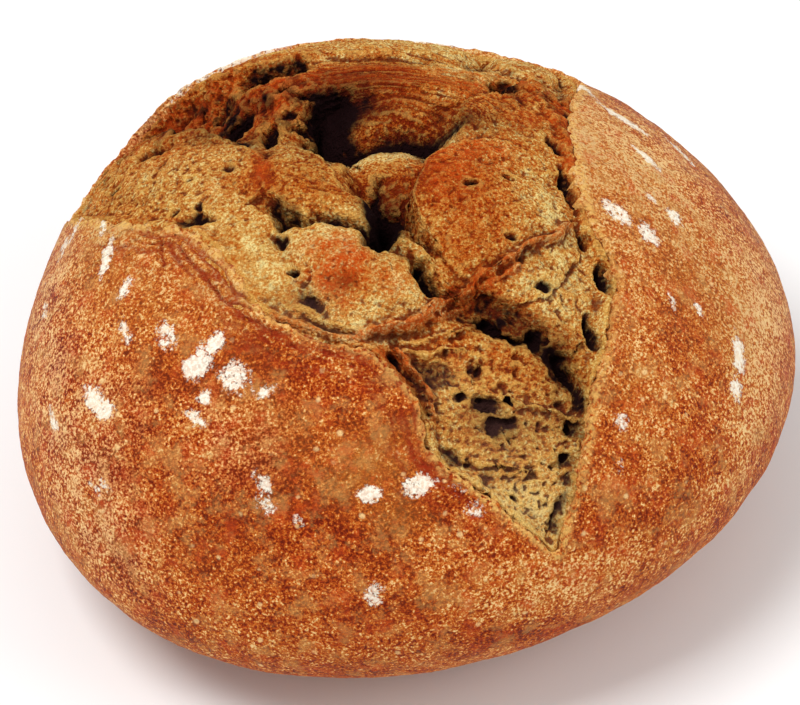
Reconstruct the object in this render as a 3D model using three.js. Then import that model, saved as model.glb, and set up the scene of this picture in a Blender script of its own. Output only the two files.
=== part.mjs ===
// A round, hearth-baked rye loaf: one solid with a domed crust, a flat foot,
// and a wide burst across its top where the dough tore open in the oven.
//
// Millimetres, +Z up. The loaf stands on z = 0 and its box is centred on the
// Z axis. The front, where the burst runs down to a point, faces -Y.
//
// Places on the crust are given as [p, q]: millimetres measured over the
// surface from the crown, p towards +X and q towards +Y.

import * as THREE from 'three';
import { mergeVertices } from 'three/addons/utils/BufferGeometryUtils.js';

// ---- Driving dimensions ----------------------------------------------------

const HALF_WIDTH = 101;      // along X
const HALF_DEPTH = 96;       // along Y
const CROWN_RISE = 68;       // from the widest level up to the crown
const KEEL_DROP = 55;        // from the widest level down, before the foot is cut
const EQUATOR = 46;          // height of the widest level above the foot
const CROWN_LEAN = [-12, 13]; // how far the crown sits off the middle, X and Y
const ARC_RADIUS = 90;       // millimetres over the crust for one radian

// Slow swellings of the side wall: compass angle, level from -1 (keel) to
// 1 (crown), amount, and the width of the swelling in radians.
const SWELLINGS = [
  { compass: -124, level: -0.4, amount: 8.4, width: 0.54 },
  { compass: -50, level: -0.4, amount: -4, width: 0.5 },
  { compass: 20, level: -0.1, amount: 4.5, width: 0.6 },
  { compass: 55, level: 0.4, amount: 3, width: 0.3 },
  { compass: 165, level: 0.35, amount: -2, width: 0.25 },
];
const SWELLING_RISE = 0.4;

const FACETS_PER_EDGE = 21;  // splits of each edge of the icosahedron
const FACET_CROWDING = 0.42; // facet size at the burst, as a share of the mean
const FACET_CENTRE = [-8, -12];
const EVENING_ROUNDS = 10;   // rounds that spread the facets over steep sides

const BREAD = new THREE.MeshStandardMaterial({
  name: 'rye_crust',
  color: new THREE.Color('#b06a31'),
  roughness: 0.78,
  metalness: 0,
});

// ---- The burst -------------------------------------------------------------

// The torn edge of the crust, anticlockwise from the point at the front.
const BURST_RIM = [
  [47, -109], [51, -90], [53, -68], [57, -51], [60, -29], [53, -14], [50, 6], [49, 26],
  [52, 48], [52, 62], [46, 75], [34, 81], [20, 83], [6, 80], [-8, 74], [-20, 66], [-32, 61],
  [-45, 60], [-58, 61], [-71, 65], [-84, 66], [-97, 58], [-106, 46], [-105, 33], [-95, 19],
  [-83, 6], [-72, -4], [-60, -12], [-50, -18], [-42, -22], [-35, -30], [-27, -46],
  [-20, -52], [-10, -57], [0, -60], [6, -66], [10, -76], [14, -87], [30, -98],
];
const RIM_SAMPLES = 200;
const RIM_LIP = 0.5;         // the crust curls up this much beside the tear
const RIM_LIP_REACH = 3.6;
const TORN_FLOOR = -3.6;     // the torn crumb, below the crust's own surface
const TORN_EDGE = 4.5;       // width over which the floor drops from the rim

// Hollows take material away: a bowl with a flat bottom and steep sides.
const HOLLOWS = [
  { name: 'well', at: [9, 12], size: [22, 13.5], turn: -4, depth: 24 },
  { name: 'well_deep', at: [-4, 10], size: [7.5, 14], turn: 0, depth: 12 },
  { name: 'well_back_left', at: [-5, 19], size: [7, 8], turn: 0, depth: 12 },
  { name: 'throat', at: [8, -13], size: [8, 22], turn: 5, depth: 18 },
  { name: 'left_trough', at: [-54, 37], size: [48, 15.5], turn: -40, depth: 8.5 },
  { name: 'left_cave', at: [-33, 25], size: [6, 8], turn: -20, depth: 6 },
  { name: 'left_cave_end', at: [-21, 14], size: [4, 7], turn: 0, depth: 7 },
  { name: 'far_left_cave', at: [-50, 38], size: [5, 7], turn: -20, depth: 5 },
  { name: 'back_hole', at: [-25, 44], size: [10, 7], turn: 4, depth: 13 },
  { name: 'corner_hole', at: [34, 38], size: [4.8, 5.6], turn: 0, depth: 9 },
  { name: 'corner_gap', at: [27, 70], size: [5.5, 18], turn: -6, depth: 3 },
  { name: 'shoulder_notch', at: [-17, -22], size: [4, 5], turn: 10, depth: 8 },
  { name: 'under_ridge', at: [30, -47], size: [12, 5], turn: -12, depth: 4 },
  { name: 'under_ridge_end', at: [40.5, -53], size: [3, 4.4], turn: 12, depth: 6 },
  { name: 'edge_hole', at: [57, -29.5], size: [2.6, 4.4], turn: 8, depth: 5 },
  { name: 'side_hole', at: [54, -46], size: [2.4, 5], turn: 4, depth: 4 },
  { name: 'wedge_pit_upper', at: [13.5, -63.5], size: [5.6, 3.6], turn: -6, depth: 1.6 },
  { name: 'wedge_pit_middle', at: [26, -69.6], size: [4, 3.2], turn: -12, depth: 4 },
  { name: 'wedge_pit_low', at: [30, -75], size: [4.4, 2.6], turn: 22, depth: 3 },
  { name: 'wedge_pit_high_right', at: [46.5, -57], size: [3.6, 5.4], turn: 24, depth: 4.4 },
  { name: 'wedge_pit_right', at: [48.5, -77], size: [3, 6], turn: 10, depth: 3.5 },
];

// Lumps of dough that rise out of the torn floor: a low dome whose side falls
// by `side` for each millimetre out, rounded over `blend` where it meets the rest.
const LUMPS = [
  {
    name: 'left_shelf', at: [-49, -5], size: [29, 15], turn: -12,
    top: -1.2, dome: 0.8, side: 2.2, blend: 1.6,
  },
  {
    name: 'shelf_back', at: [-60, 7], size: [42, 17], turn: -31,
    top: -1.4, dome: 0.8, side: 3, blend: 1.6,
  },
  {
    name: 'peeled_slope', at: [-28, -33], size: [11, 20], turn: 28,
    top: -1, dome: 1, side: 2.2, blend: 1.6,
  },
  {
    name: 'shoulder', at: [-14, -11], size: [11, 8], turn: -35,
    top: -0.6, dome: 1.6, side: 3, blend: 1.6,
  },
  {
    name: 'shoulder_fold', at: [-7, -20], size: [14, 5], turn: -22,
    top: -1, dome: 1.6, side: 3, blend: 1.6,
  },
  {
    name: 'brow', at: [-3, -39.5], size: [21, 13.5], turn: -15,
    top: 0.8, dome: 2.4, side: 3, blend: 1.6,
  },
  {
    name: 'right_mound', at: [32, -19], size: [18, 24], turn: 8,
    top: 0.8, dome: 3.4, side: 7, blend: 1.6,
  },
  {
    name: 'mound_back', at: [37, 12], size: [13, 17], turn: 6,
    top: -0.4, dome: 1.4, side: 2.2, blend: 5,
  },
  {
    name: 'island', at: [11.5, -3], size: [14, 12], turn: 0,
    top: -9.5, dome: 4.5, side: 2.4, blend: 3,
  },
  {
    name: 'island_flank', at: [9.5, -16], size: [8, 13], turn: 0,
    top: -16, dome: 3, side: 1.6, blend: 4,
  },
  {
    name: 'well_bulge', at: [9, 25], size: [13, 7], turn: 0,
    top: -8.5, dome: 3, side: 1.4, blend: 8,
  },
  {
    name: 'back_left_crest', at: [-28, 52], size: [15, 5], turn: 0,
    top: -0.2, dome: 0.5, side: 2.4, blend: 1.6,
  },
  {
    name: 'back_crest', at: [0, 66], size: [23, 15], turn: -4,
    top: -0.3, dome: 0.8, side: 1.2, blend: 1.6,
  },
  {
    name: 'corner_tuft', at: [39, 67], size: [8, 17], turn: 8,
    top: -0.4, dome: 1.2, side: 1.4, blend: 1.6,
  },
  {
    name: 'corner_spur', at: [42, 28], size: [5, 15], turn: 8,
    top: 0.2, dome: 1.6, side: 2.2, blend: 1.6,
  },
];

// Raised threads of torn crust, and the splits beside them.
const RIDGES = [
  {
    name: 'torn_ridge', height: 2.4, width: 1.8,
    path: [[-2, -54.5], [4, -53.5], [13, -51.5], [18, -46], [25, -39.5], [34.5, -32], [44, -23]],
  },
  { name: 'split_lip', height: 2.4, width: 1.6, path: [[5.5, -58], [9.5, -63.5], [14.5, -73.5]] },
];
const SPLITS = [
  { name: 'brow_split', depth: 7, width: 2, path: [[14, -38], [17, -43], [19, -47]] },
  { name: 'red_split', depth: 6, width: 2, path: [[3.5, -60], [6.5, -65], [12.5, -73.5]] },
  { name: 'groove', depth: 1.4, width: 2.6, path: [[-19, -30], [-15, -40], [-10, -49]] },
  {
    name: 'fold_under_shoulder', depth: 4, width: 1.6,
    path: [[-18, -25.5], [-10, -24.5], [-1, -27], [3, -31]],
  },
  { name: 'throat_tip', depth: 13, width: 2.4, path: [[7, -20], [6, -26], [4.8, -31.5]] },
  {
    name: 'wedge_split', depth: 5, width: 1.8,
    path: [[47, -53], [51, -62], [51.5, -71], [50.5, -82], [48.5, -93], [46.5, -103]],
  },
];

// Slow unevenness of the whole crust: sines along three directions.
const WAVES = [
  { along: [3.1, 1.7, 2.3], phase: 0.4, amount: 0.5 },
  { along: [-2.2, 4.3, 1.1], phase: 1.9, amount: 0.4 },
  { along: [5.3, -3.7, 2.9], phase: 3.1, amount: 0.25 },
];

// ---- Curves and blends -----------------------------------------------------

/** Eases from 0 to 1 as x goes from 0 to 1. */
function ease(x) {
  const t = THREE.MathUtils.clamp(x, 0, 1);
  return t * t * (3 - 2 * t);
}

/** The larger of two heights, rounded over the given blend where they cross. */
function roundedMax(a, b, blend) {
  const h = Math.max(blend - Math.abs(a - b), 0) / blend;
  return Math.max(a, b) + h * h * blend * 0.25;
}

/** Distance from [p, q] to one straight stretch between two points. */
function stretchDistance(p, q, [ax, ay], [bx, by]) {
  const [dx, dy] = [bx - ax, by - ay];
  const share = THREE.MathUtils.clamp(
    ((p - ax) * dx + (q - ay) * dy) / (dx * dx + dy * dy), 0, 1);
  return Math.hypot(p - ax - share * dx, q - ay - share * dy);
}

/** Shortest distance from [p, q] to an open path of points. */
function pathDistance(p, q, path) {
  let nearest = Infinity;
  for (let i = 1; i < path.length; i++) {
    nearest = Math.min(nearest, stretchDistance(p, q, path[i - 1], path[i]));
  }
  return nearest;
}

/** How far out [p, q] lies in a turned ellipse: 0 at its middle, 1 on its edge. */
function ellipseReach(p, q, { at, size, turn }) {
  const angle = THREE.MathUtils.degToRad(turn);
  const [dp, dq] = [p - at[0], q - at[1]];
  const along = dp * Math.cos(angle) + dq * Math.sin(angle);
  const across = dq * Math.cos(angle) - dp * Math.sin(angle);
  return Math.hypot(along / size[0], across / size[1]);
}

/** The rim as a closed smooth outline of evenly spaced points. */
function rimOutline() {
  const points = BURST_RIM.map(([p, q]) => new THREE.Vector3(p, q, 0));
  const curve = new THREE.CatmullRomCurve3(points, true, 'centripetal');
  return curve.getSpacedPoints(RIM_SAMPLES).map((v) => [v.x, v.y]);
}

/** Depth of [p, q] inside the closed outline, negative outside it. */
function depthInside(p, q, outline) {
  let inside = false;
  let nearest = Infinity;
  for (let i = 1; i < outline.length; i++) {
    const [a, b] = [outline[i - 1], outline[i]];
    nearest = Math.min(nearest, stretchDistance(p, q, a, b));
    const crosses = (a[1] > q) !== (b[1] > q);
    if (crosses && p < ((b[0] - a[0]) * (q - a[1])) / (b[1] - a[1]) + a[0]) {
      inside = !inside;
    }
  }
  return inside ? nearest : -nearest;
}

// ---- The relief of the burst -----------------------------------------------

/** Height of the torn crumb at [p, q], `depth` inside the rim. */
function tornHeight(p, q, depth) {
  let height = TORN_FLOOR * ease(depth / TORN_EDGE);
  for (const hollow of HOLLOWS) {
    height -= hollow.depth * Math.exp(-(ellipseReach(p, q, hollow) ** 4));
  }
  for (const lump of LUMPS) {
    const reach = ellipseReach(p, q, lump);
    const beyond = Math.max(reach - 1, 0) * Math.min(...lump.size);
    const level = lump.top - lump.dome * Math.min(reach, 1) ** 2 - lump.side * beyond;
    height = roundedMax(height, level, lump.blend);
  }
  for (const ridge of RIDGES) {
    const off = pathDistance(p, q, ridge.path) / ridge.width;
    height += ridge.height * Math.exp(-off * off);
  }
  for (const split of SPLITS) {
    const off = pathDistance(p, q, split.path) / split.width;
    height -= split.depth * Math.exp(-off * off);
  }
  return height;
}

/** Height of the surface at [p, q] over the plain body. */
function relief(p, q, outline) {
  const depth = depthInside(p, q, outline);
  const lip = RIM_LIP * Math.exp(-((depth / RIM_LIP_REACH) ** 2));
  if (depth <= 0) return lip;
  return lip + tornHeight(p, q, depth) * ease(depth / TORN_EDGE + 0.15);
}

// ---- The body --------------------------------------------------------------

/** Millimetres over the crust from the crown, for a unit direction. */
function crustPlace(direction) {
  const angle = Math.acos(THREE.MathUtils.clamp(direction.z, -1, 1));
  const scale = (ARC_RADIUS * angle) / Math.max(Math.sin(angle), 1e-9);
  return [direction.x * scale, direction.y * scale];
}

/** The unit direction of a place [p, q] on the crust. */
function crustDirection([p, q]) {
  const angle = Math.hypot(p, q) / ARC_RADIUS;
  const scale = Math.sin(angle) / (ARC_RADIUS * angle);
  return new THREE.Vector3(p * scale, q * scale, Math.cos(angle));
}

/** A point of the plain loaf, without the burst, for a unit direction. */
function bodyPoint(direction) {
  const rise = Math.max(direction.z, 0) ** 2;
  const vertical = direction.z > 0 ? CROWN_RISE : KEEL_DROP;
  const point = new THREE.Vector3(
    HALF_WIDTH * direction.x + CROWN_LEAN[0] * rise,
    HALF_DEPTH * direction.y + CROWN_LEAN[1] * rise,
    EQUATOR + vertical * direction.z);
  const compass = Math.atan2(direction.y, direction.x);
  for (const { compass: middle, level, amount, width } of SWELLINGS) {
    const turn = THREE.MathUtils.euclideanModulo(
      compass - THREE.MathUtils.degToRad(middle) + Math.PI, 2 * Math.PI) - Math.PI;
    const swell = amount
      * Math.exp(-0.5 * (turn / width) ** 2)
      * Math.exp(-0.5 * ((direction.z - level) / SWELLING_RISE) ** 2);
    point.x += swell * Math.cos(compass);
    point.y += swell * Math.sin(compass);
  }
  return point;
}

/** The outward unit normal of the plain loaf for a unit direction. */
function bodyNormal(direction) {
  const vertical = direction.z > 0 ? CROWN_RISE : KEEL_DROP;
  return new THREE.Vector3(
    direction.x / HALF_WIDTH, direction.y / HALF_DEPTH, direction.z / vertical).normalize();
}

/** Slow unevenness of the crust for a unit direction. */
function crustWave(direction) {
  return WAVES.reduce((sum, { along, phase, amount }) => {
    const dot = direction.dot(new THREE.Vector3(...along));
    return sum + amount * Math.sin(dot + phase);
  }, 0);
}

/** Turns a direction towards the burst, so that small facets gather there. */
function crowdTowards(direction, centre) {
  const angle = direction.angleTo(centre);
  const share = FACET_CROWDING + (1 - FACET_CROWDING) * (angle / Math.PI) ** 2;
  const axis = new THREE.Vector3().crossVectors(centre, direction);
  if (axis.lengthSq() < 1e-12) return direction.clone();
  return centre.clone().applyAxisAngle(axis.normalize(), angle * share);
}

/** For each vertex of an indexed geometry, the vertices that share an edge with it. */
function neighboursOf(geometry) {
  const index = geometry.getIndex().array;
  const neighbours = Array.from(
    { length: geometry.getAttribute('position').count }, () => new Set());
  for (let i = 0; i < index.length; i += 3) {
    for (let corner = 0; corner < 3; corner++) {
      const [a, b] = [index[i + corner], index[i + ((corner + 1) % 3)]];
      neighbours[a].add(b);
      neighbours[b].add(a);
    }
  }
  return neighbours;
}

/**
 * Moves each direction towards its neighbours, the far ones pulling hardest,
 * so that long facets on steep sides draw more vertices in.
 */
function evenOut(directions, neighbours, surface) {
  const points = directions.map(surface);
  return directions.map((direction, i) => {
    const sum = new THREE.Vector3();
    for (const j of neighbours[i]) {
      sum.addScaledVector(directions[j], points[i].distanceTo(points[j]));
    }
    return sum.normalize().lerp(direction, 0.3).normalize();
  });
}

// ---- The loaf --------------------------------------------------------------

/** The whole loaf as one closed surface, standing on z = 0. */
function loafGeometry() {
  const ball = new THREE.IcosahedronGeometry(1, FACETS_PER_EDGE - 1);
  ball.deleteAttribute('normal');
  ball.deleteAttribute('uv');
  const geometry = mergeVertices(ball, 1e-5);
  const position = geometry.getAttribute('position');
  const neighbours = neighboursOf(geometry);
  const centre = crustDirection(FACET_CENTRE);
  const outline = rimOutline();

  const surface = (direction) => {
    const [p, q] = crustPlace(direction);
    const point = bodyPoint(direction).addScaledVector(
      bodyNormal(direction), relief(p, q, outline) + crustWave(direction));
    point.z = Math.max(point.z, 0);
    return point;
  };

  let directions = Array.from({ length: position.count }, (_, i) => crowdTowards(
    new THREE.Vector3().fromBufferAttribute(position, i).normalize(), centre));
  for (let round = 0; round < EVENING_ROUNDS; round++) {
    directions = evenOut(directions, neighbours, surface);
  }
  directions.map(surface).forEach((point, i) => position.setXYZ(i, ...point));
  geometry.computeBoundingBox();
  const middle = geometry.boundingBox.getCenter(new THREE.Vector3());
  geometry.translate(-middle.x, -middle.y, 0);
  geometry.computeVertexNormals();
  return geometry;
}

const loaf = new THREE.Mesh(loafGeometry(), BREAD);
loaf.name = 'loaf';

const part = new THREE.Group();
part.add(loaf);

export default part;
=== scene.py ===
"""A round, hearth-baked rye loaf with a burst across its top.

The crust, the torn crumb inside the burst and the loaf's underside are surfaces
worked out with numpy. Places on the crust are given as (p, q): millimetres over
the surface from the crown, p towards +X and q towards +Y. Heights are millimetres
over the plain loaf. Marks are values at the vertices that the finishes read.
"""

from __future__ import annotations

import logging
import math
from collections.abc import Iterator
from dataclasses import dataclass, field
from enum import Enum

import bpy
import numpy as np
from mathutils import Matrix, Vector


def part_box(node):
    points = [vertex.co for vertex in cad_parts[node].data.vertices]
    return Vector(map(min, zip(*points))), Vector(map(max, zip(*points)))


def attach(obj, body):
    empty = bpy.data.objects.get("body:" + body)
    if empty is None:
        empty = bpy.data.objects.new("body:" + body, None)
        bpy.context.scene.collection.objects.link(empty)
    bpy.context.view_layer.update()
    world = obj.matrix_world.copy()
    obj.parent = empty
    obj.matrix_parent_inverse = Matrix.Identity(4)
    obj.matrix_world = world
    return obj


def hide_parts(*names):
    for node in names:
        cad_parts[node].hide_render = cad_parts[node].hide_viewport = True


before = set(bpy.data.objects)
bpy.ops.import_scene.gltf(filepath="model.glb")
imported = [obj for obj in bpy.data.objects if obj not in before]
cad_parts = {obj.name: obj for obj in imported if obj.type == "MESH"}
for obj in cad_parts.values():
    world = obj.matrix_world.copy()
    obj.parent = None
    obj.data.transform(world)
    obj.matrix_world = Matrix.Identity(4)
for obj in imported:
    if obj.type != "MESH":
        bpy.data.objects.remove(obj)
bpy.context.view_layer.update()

log = logging.getLogger("rye_loaf")
Array = np.ndarray
Pair = tuple[float, float]
Triple = tuple[float, float, float]

MM = 0.001


# ---- Blends and noise ----


def ease(x: Array) -> Array:
    """Ease from 0 to 1 as x goes from 0 to 1, flat at both ends."""
    t = np.clip(x, 0.0, 1.0)
    return t * t * (3.0 - 2.0 * t)


def bell(x: Array, width: float) -> Array:
    """Fall off from 1 at x = 0: exp(-(x / width) squared)."""
    return np.exp(-(x / width) ** 2)


def held(x: Array) -> Array:
    """Hold values between 0 and 1."""
    return np.clip(x, 0.0, 1.0)


def rounded_max(a: Array, b: Array, blend: float) -> Array:
    """Take the larger of two heights, rounded over ``blend`` where they cross."""
    h = np.maximum(blend - np.abs(a - b), 0.0) / blend
    return np.maximum(a, b) + h * h * blend * 0.25


def unit(vectors: Array) -> Array:
    """Scale vectors along the last axis to length one."""
    return vectors / np.maximum(np.linalg.norm(vectors, axis=-1, keepdims=True), 1e-12)


def flattened(place: Array) -> Array:
    """Places (p, q) as points (p, q, 0), for noise that is drawn over the crust map."""
    return np.concatenate([place, np.zeros(place.shape[:-1] + (1,))], axis=-1)


class Noise:
    """Seeded gradient noise and cell noise over places in space."""

    ENTRIES = 256
    LOUDNESS = 1.6  # brings gradient noise to about -1 to 1
    FRACTAL_SHIFT = 17.3  # moves each octave, so that their lattices don't line up
    RIDGE_SHIFT = -11.9
    RIDGE_STEP = 0.55  # size of each octave of crests as a share of the last
    RIDGE_GAIN = 0.6
    FAR = 9.0  # farther than any spot can be, in cells

    def __init__(self, seed: int) -> None:
        """Draw the tables that every octave reads.

        Args:
            seed: Fixes every random draw of this noise.
        """
        draw = np.random.default_rng(seed)
        self.order = draw.permutation(self.ENTRIES)
        self.slopes = unit(draw.normal(size=(self.ENTRIES, 3)))
        self.spots = draw.random((self.ENTRIES, 3))
        self.spreads = draw.random(self.ENTRIES) ** 3

    def _hash(self, cell: Array) -> Array:
        """Turn whole-number cells into places in the tables."""
        last = self.ENTRIES - 1
        key = self.order[cell[..., 0] & last]
        key = self.order[(key + cell[..., 1]) & last]
        return self.order[(key + cell[..., 2]) & last]

    def _spots_near(self, place: Array, size: float) -> Iterator[tuple[Array, Array]]:
        """Go through the 27 cells round each place.

        Args:
            place: Places of shape (..., 3), in millimetres.
            size: Spacing of the cells in millimetres.

        Yields:
            The cells' places in the tables, and the way to each one's spot, in cells.
        """
        at = place / size
        cell = np.floor(at).astype(np.int64)
        for step in np.ndindex(3, 3, 3):
            other = cell + np.array(step) - 1
            key = self._hash(other)
            yield key, other + self.spots[key] - at

    def smooth(self, place: Array, size: float) -> Array:
        """Gradient noise: slopes at the corners of a lattice, blended between them.

        Args:
            place: Places of shape (..., 3), in millimetres.
            size: Spacing of the lattice in millimetres.

        Returns:
            Values of about -1 to 1, of shape (...).
        """
        at = place / size
        cell = np.floor(at).astype(np.int64)
        inner = at - cell
        fade = inner ** 3 * (inner * (inner * 6.0 - 15.0) + 10.0)
        total = np.zeros(place.shape[:-1])
        for corner in np.ndindex(2, 2, 2):
            slope = self.slopes[self._hash(cell + corner)]
            rise = np.sum(slope * (inner - corner), axis=-1)
            weight = np.prod(np.where(np.array(corner) == 1, fade, 1.0 - fade), axis=-1)
            total += rise * weight
        return total * self.LOUDNESS

    def fractal(self, place: Array, size: float, octaves: int, gain: float = 0.5) -> Array:
        """Sum of gradient noises, each half the size of the last.

        Args:
            place: Places of shape (..., 3), in millimetres.
            size: Spacing of the coarsest lattice in millimetres.
            octaves: Number of noises in the sum.
            gain: Strength of each noise as a share of the last.

        Returns:
            Values of about -1 to 1, of shape (...).
        """
        total = np.zeros(place.shape[:-1])
        strength, reach = 1.0, 0.0
        for octave in range(octaves):
            total += strength * self.smooth(place + self.FRACTAL_SHIFT * octave, size * 0.5 ** octave)
            reach += strength
            strength *= gain
        return total / reach

    def ridged(self, place: Array, size: float, octaves: int) -> Array:
        """Fractal noise of sharp crests: each octave is one less its noise's size.

        Args:
            place: Places of shape (..., 3), in millimetres.
            size: Spacing of the coarsest lattice in millimetres.
            octaves: Number of noises in the sum.

        Returns:
            Values of about 0 to 1 with a mean near 0.7, of shape (...).
        """
        total = np.zeros(place.shape[:-1])
        strength, reach = 1.0, 0.0
        for octave in range(octaves):
            step = size * self.RIDGE_STEP ** octave
            total += strength * (1.0 - np.abs(self.smooth(place + self.RIDGE_SHIFT * octave, step)))
            reach += strength
            strength *= self.RIDGE_GAIN
        return total / reach

    def cells(self, place: Array, size: float) -> Array:
        """Cell noise: distance to the nearest of one spot scattered in each cell.

        Args:
            place: Places of shape (..., 3), in millimetres.
            size: Spacing of the cells in millimetres.

        Returns:
            Distances as a share of the cell size, from 0 at a spot to about 1.
        """
        nearest = np.full(place.shape[:-1], self.FAR)
        for _, way in self._spots_near(place, size):
            nearest = np.minimum(nearest, np.sum(way ** 2, axis=-1))
        return np.sqrt(nearest)

    def bubbles(self, place: Array, size: float, least: float, most: float) -> Array:
        """Scattered bubbles of many sizes: distance to the nearest over its own radius.

        Each cell holds one bubble, mostly small and seldom large.

        Args:
            place: Places of shape (..., 3), in millimetres.
            size: Spacing of the cells in millimetres.
            least: Smallest radius, in cells.
            most: Largest radius, in cells.

        Returns:
            Values under 1 inside a bubble, of shape (...).
        """
        nearest = np.full(place.shape[:-1], self.FAR)
        for key, way in self._spots_near(place, size):
            radius = least + (most - least) * self.spreads[key]
            nearest = np.minimum(nearest, np.linalg.norm(way, axis=-1) / radius)
        return nearest


@dataclass(frozen=True)
class Mottle:
    """A term of noise: its strength, the size of its largest grains and its octaves.

    ``shift`` moves the places before they are read, so that terms of one noise differ.
    """

    amount: float
    size: float
    octaves: int
    gain: float = 0.5
    shift: float = 0.0

    def over(self, noise: Noise, place: Array) -> Array:
        """Fractal noise times the amount, about 0."""
        return self.amount * noise.fractal(place + self.shift, self.size, self.octaves, self.gain)

    def crests(self, noise: Noise, place: Array, mean: float) -> Array:
        """Ridged noise over its mean, times the amount."""
        return self.amount * (noise.ridged(place + self.shift, self.size, self.octaves) - mean)


@dataclass(frozen=True)
class Pores:
    """Bubbles torn open: spacing of the cells, radii in cells and the depth of a pore."""

    spacing: float
    least: float
    most: float
    depth: float
    shift: float = 0.0
    rim: Pair = (0.6, 0.5)

    def open(self, noise: Noise, place: Array) -> Array:
        """Share of the depth at each place: 1 within a bubble, eased to 0 over its rim."""
        away = noise.bubbles(place + self.shift, self.spacing, self.least, self.most)
        return 1.0 - ease((away - self.rim[0]) / self.rim[1])


# ---- The plain body ----


@dataclass(frozen=True)
class Swelling:
    """A slow swelling of the side wall.

    It lies ``compass`` degrees round from +X at a ``level`` from -1 at the foot to 1 at
    the crown, and pushes the wall out by ``amount`` millimetres over ``width`` radians.
    """

    compass: float
    level: float
    amount: float
    width: float
    rise: float = 0.4

    def push(self, compass: Array, level: Array) -> Array:
        """How far the wall is pushed out: a bell over compass angle and level."""
        turn = np.angle(np.exp(1j * (compass - math.radians(self.compass))))
        round_bell = np.exp(-0.5 * (turn / self.width) ** 2)
        return self.amount * round_bell * np.exp(-0.5 * ((level - self.level) / self.rise) ** 2)


@dataclass(frozen=True)
class Wave:
    """One slow wave of unevenness over the whole crust."""

    along: Triple
    phase: float
    amount: float


@dataclass(frozen=True)
class LoafBody:
    """The loaf without its burst: a leaning dome over a shallower keel with a flat foot.

    ``equator`` is the height of the widest level over the table, and ``arc_radius``
    turns millimetres over the crust into an angle from the crown.
    """

    half_width: float = 101.0
    half_depth: float = 96.0
    crown_rise: float = 68.0
    keel_drop: float = 55.0
    equator: float = 46.0
    crown_lean: Pair = (-12.0, 13.0)
    arc_radius: float = 90.0
    swellings: tuple[Swelling, ...] = (
        Swelling(-124.0, -0.4, 8.4, 0.54),
        Swelling(-50.0, -0.4, -4.0, 0.5),
        Swelling(20.0, -0.1, 4.5, 0.6),
        Swelling(55.0, 0.4, 3.0, 0.3),
        Swelling(165.0, 0.35, -2.0, 0.25),
    )
    waves: tuple[Wave, ...] = (
        Wave((3.1, 1.7, 2.3), 0.4, 0.5),
        Wave((-2.2, 4.3, 1.1), 1.9, 0.4),
        Wave((5.3, -3.7, 2.9), 3.1, 0.25),
    )

    @property
    def equator_arc(self) -> float:
        """Millimetres over the crust from the crown down to the widest level."""
        return self.arc_radius * math.pi / 2.0

    def direction(self, place: Array) -> Array:
        """Unit direction of each place (p, q): an angle of distance / arc_radius from +Z."""
        angle = np.hypot(place[..., 0], place[..., 1]) / self.arc_radius
        scale = np.sinc(angle / math.pi) / self.arc_radius
        return np.stack([place[..., 0] * scale, place[..., 1] * scale, np.cos(angle)], axis=-1)

    def upright(self, level: Array) -> Array:
        """Half height of the half that each level is in: the dome's or the keel's."""
        return np.where(level > 0, self.crown_rise, self.keel_drop)

    def point(self, direction: Array) -> Array:
        """Point of the plain loaf in each direction.

        It lies on a stretched sphere that leans by the square of its height, with each
        swelling added outwards.

        Args:
            direction: Unit directions of shape (..., 3).

        Returns:
            Points of shape (..., 3) in millimetres.
        """
        level = direction[..., 2]
        lean = np.clip(level, 0.0, None) ** 2
        compass = np.arctan2(direction[..., 1], direction[..., 0])
        swell = sum(swelling.push(compass, level) for swelling in self.swellings)
        x = self.half_width * direction[..., 0] + self.crown_lean[0] * lean + swell * np.cos(compass)
        y = self.half_depth * direction[..., 1] + self.crown_lean[1] * lean + swell * np.sin(compass)
        z = self.equator + self.upright(level) * level
        return np.stack([x, y, z], axis=-1)

    def normal(self, direction: Array) -> Array:
        """Outward unit normal of the stretched sphere."""
        return unit(np.stack([direction[..., 0] / self.half_width,
                              direction[..., 1] / self.half_depth,
                              direction[..., 2] / self.upright(direction[..., 2])], axis=-1))

    def wave(self, direction: Array) -> Array:
        """Slow unevenness of the crust: a sum of sines along fixed directions."""
        return sum(wave.amount * np.sin(direction @ np.array(wave.along) + wave.phase)
                   for wave in self.waves)

    def lifted(self, place: Array, height: Array) -> Array:
        """Point at ``height`` over the plain loaf at each place, kept above the table.

        Args:
            place: Places (p, q) of shape (..., 2).
            height: Heights in millimetres along the loaf's normal, of shape (...).

        Returns:
            Points of shape (..., 3) in millimetres.
        """
        way = self.direction(place)
        reach = (height + self.wave(way))[..., None]
        point = self.point(way) + self.normal(way) * reach
        point[..., 2] = np.maximum(point[..., 2], 0.0)
        return point


BODY = LoafBody()


# ---- The forms of the burst ----


@dataclass(frozen=True)
class Patch:
    """A turned ellipse on the crust map.

    ``at`` is its middle (p, q), ``size`` its two half lengths, and ``turn`` the angle
    from +p to the first of them, in degrees.
    """

    name: str
    at: Pair
    size: Pair
    turn: float

    def reach(self, place: Array) -> Array:
        """How far out each place lies: 0 at the middle, 1 on the ellipse."""
        angle = math.radians(self.turn)
        dp, dq = place[..., 0] - self.at[0], place[..., 1] - self.at[1]
        along = dp * math.cos(angle) + dq * math.sin(angle)
        across = dq * math.cos(angle) - dp * math.sin(angle)
        return np.hypot(along / self.size[0], across / self.size[1])


@dataclass(frozen=True)
class Pit(Patch):
    """A small hole with a flat bottom and steep sides; ``dark`` is the painted shade on its floor."""

    depth: float
    dark: float = 0.0

    def share(self, place: Array) -> Array:
        """How far down the hole each place lies: exp(-reach to the fourth)."""
        return np.exp(-self.reach(place) ** 4)

    def gloom(self, place: Array) -> Array:
        """Painted shade, full over the floor and eased out up the sides."""
        return self.dark * ease(1.4 * self.share(place))


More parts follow.
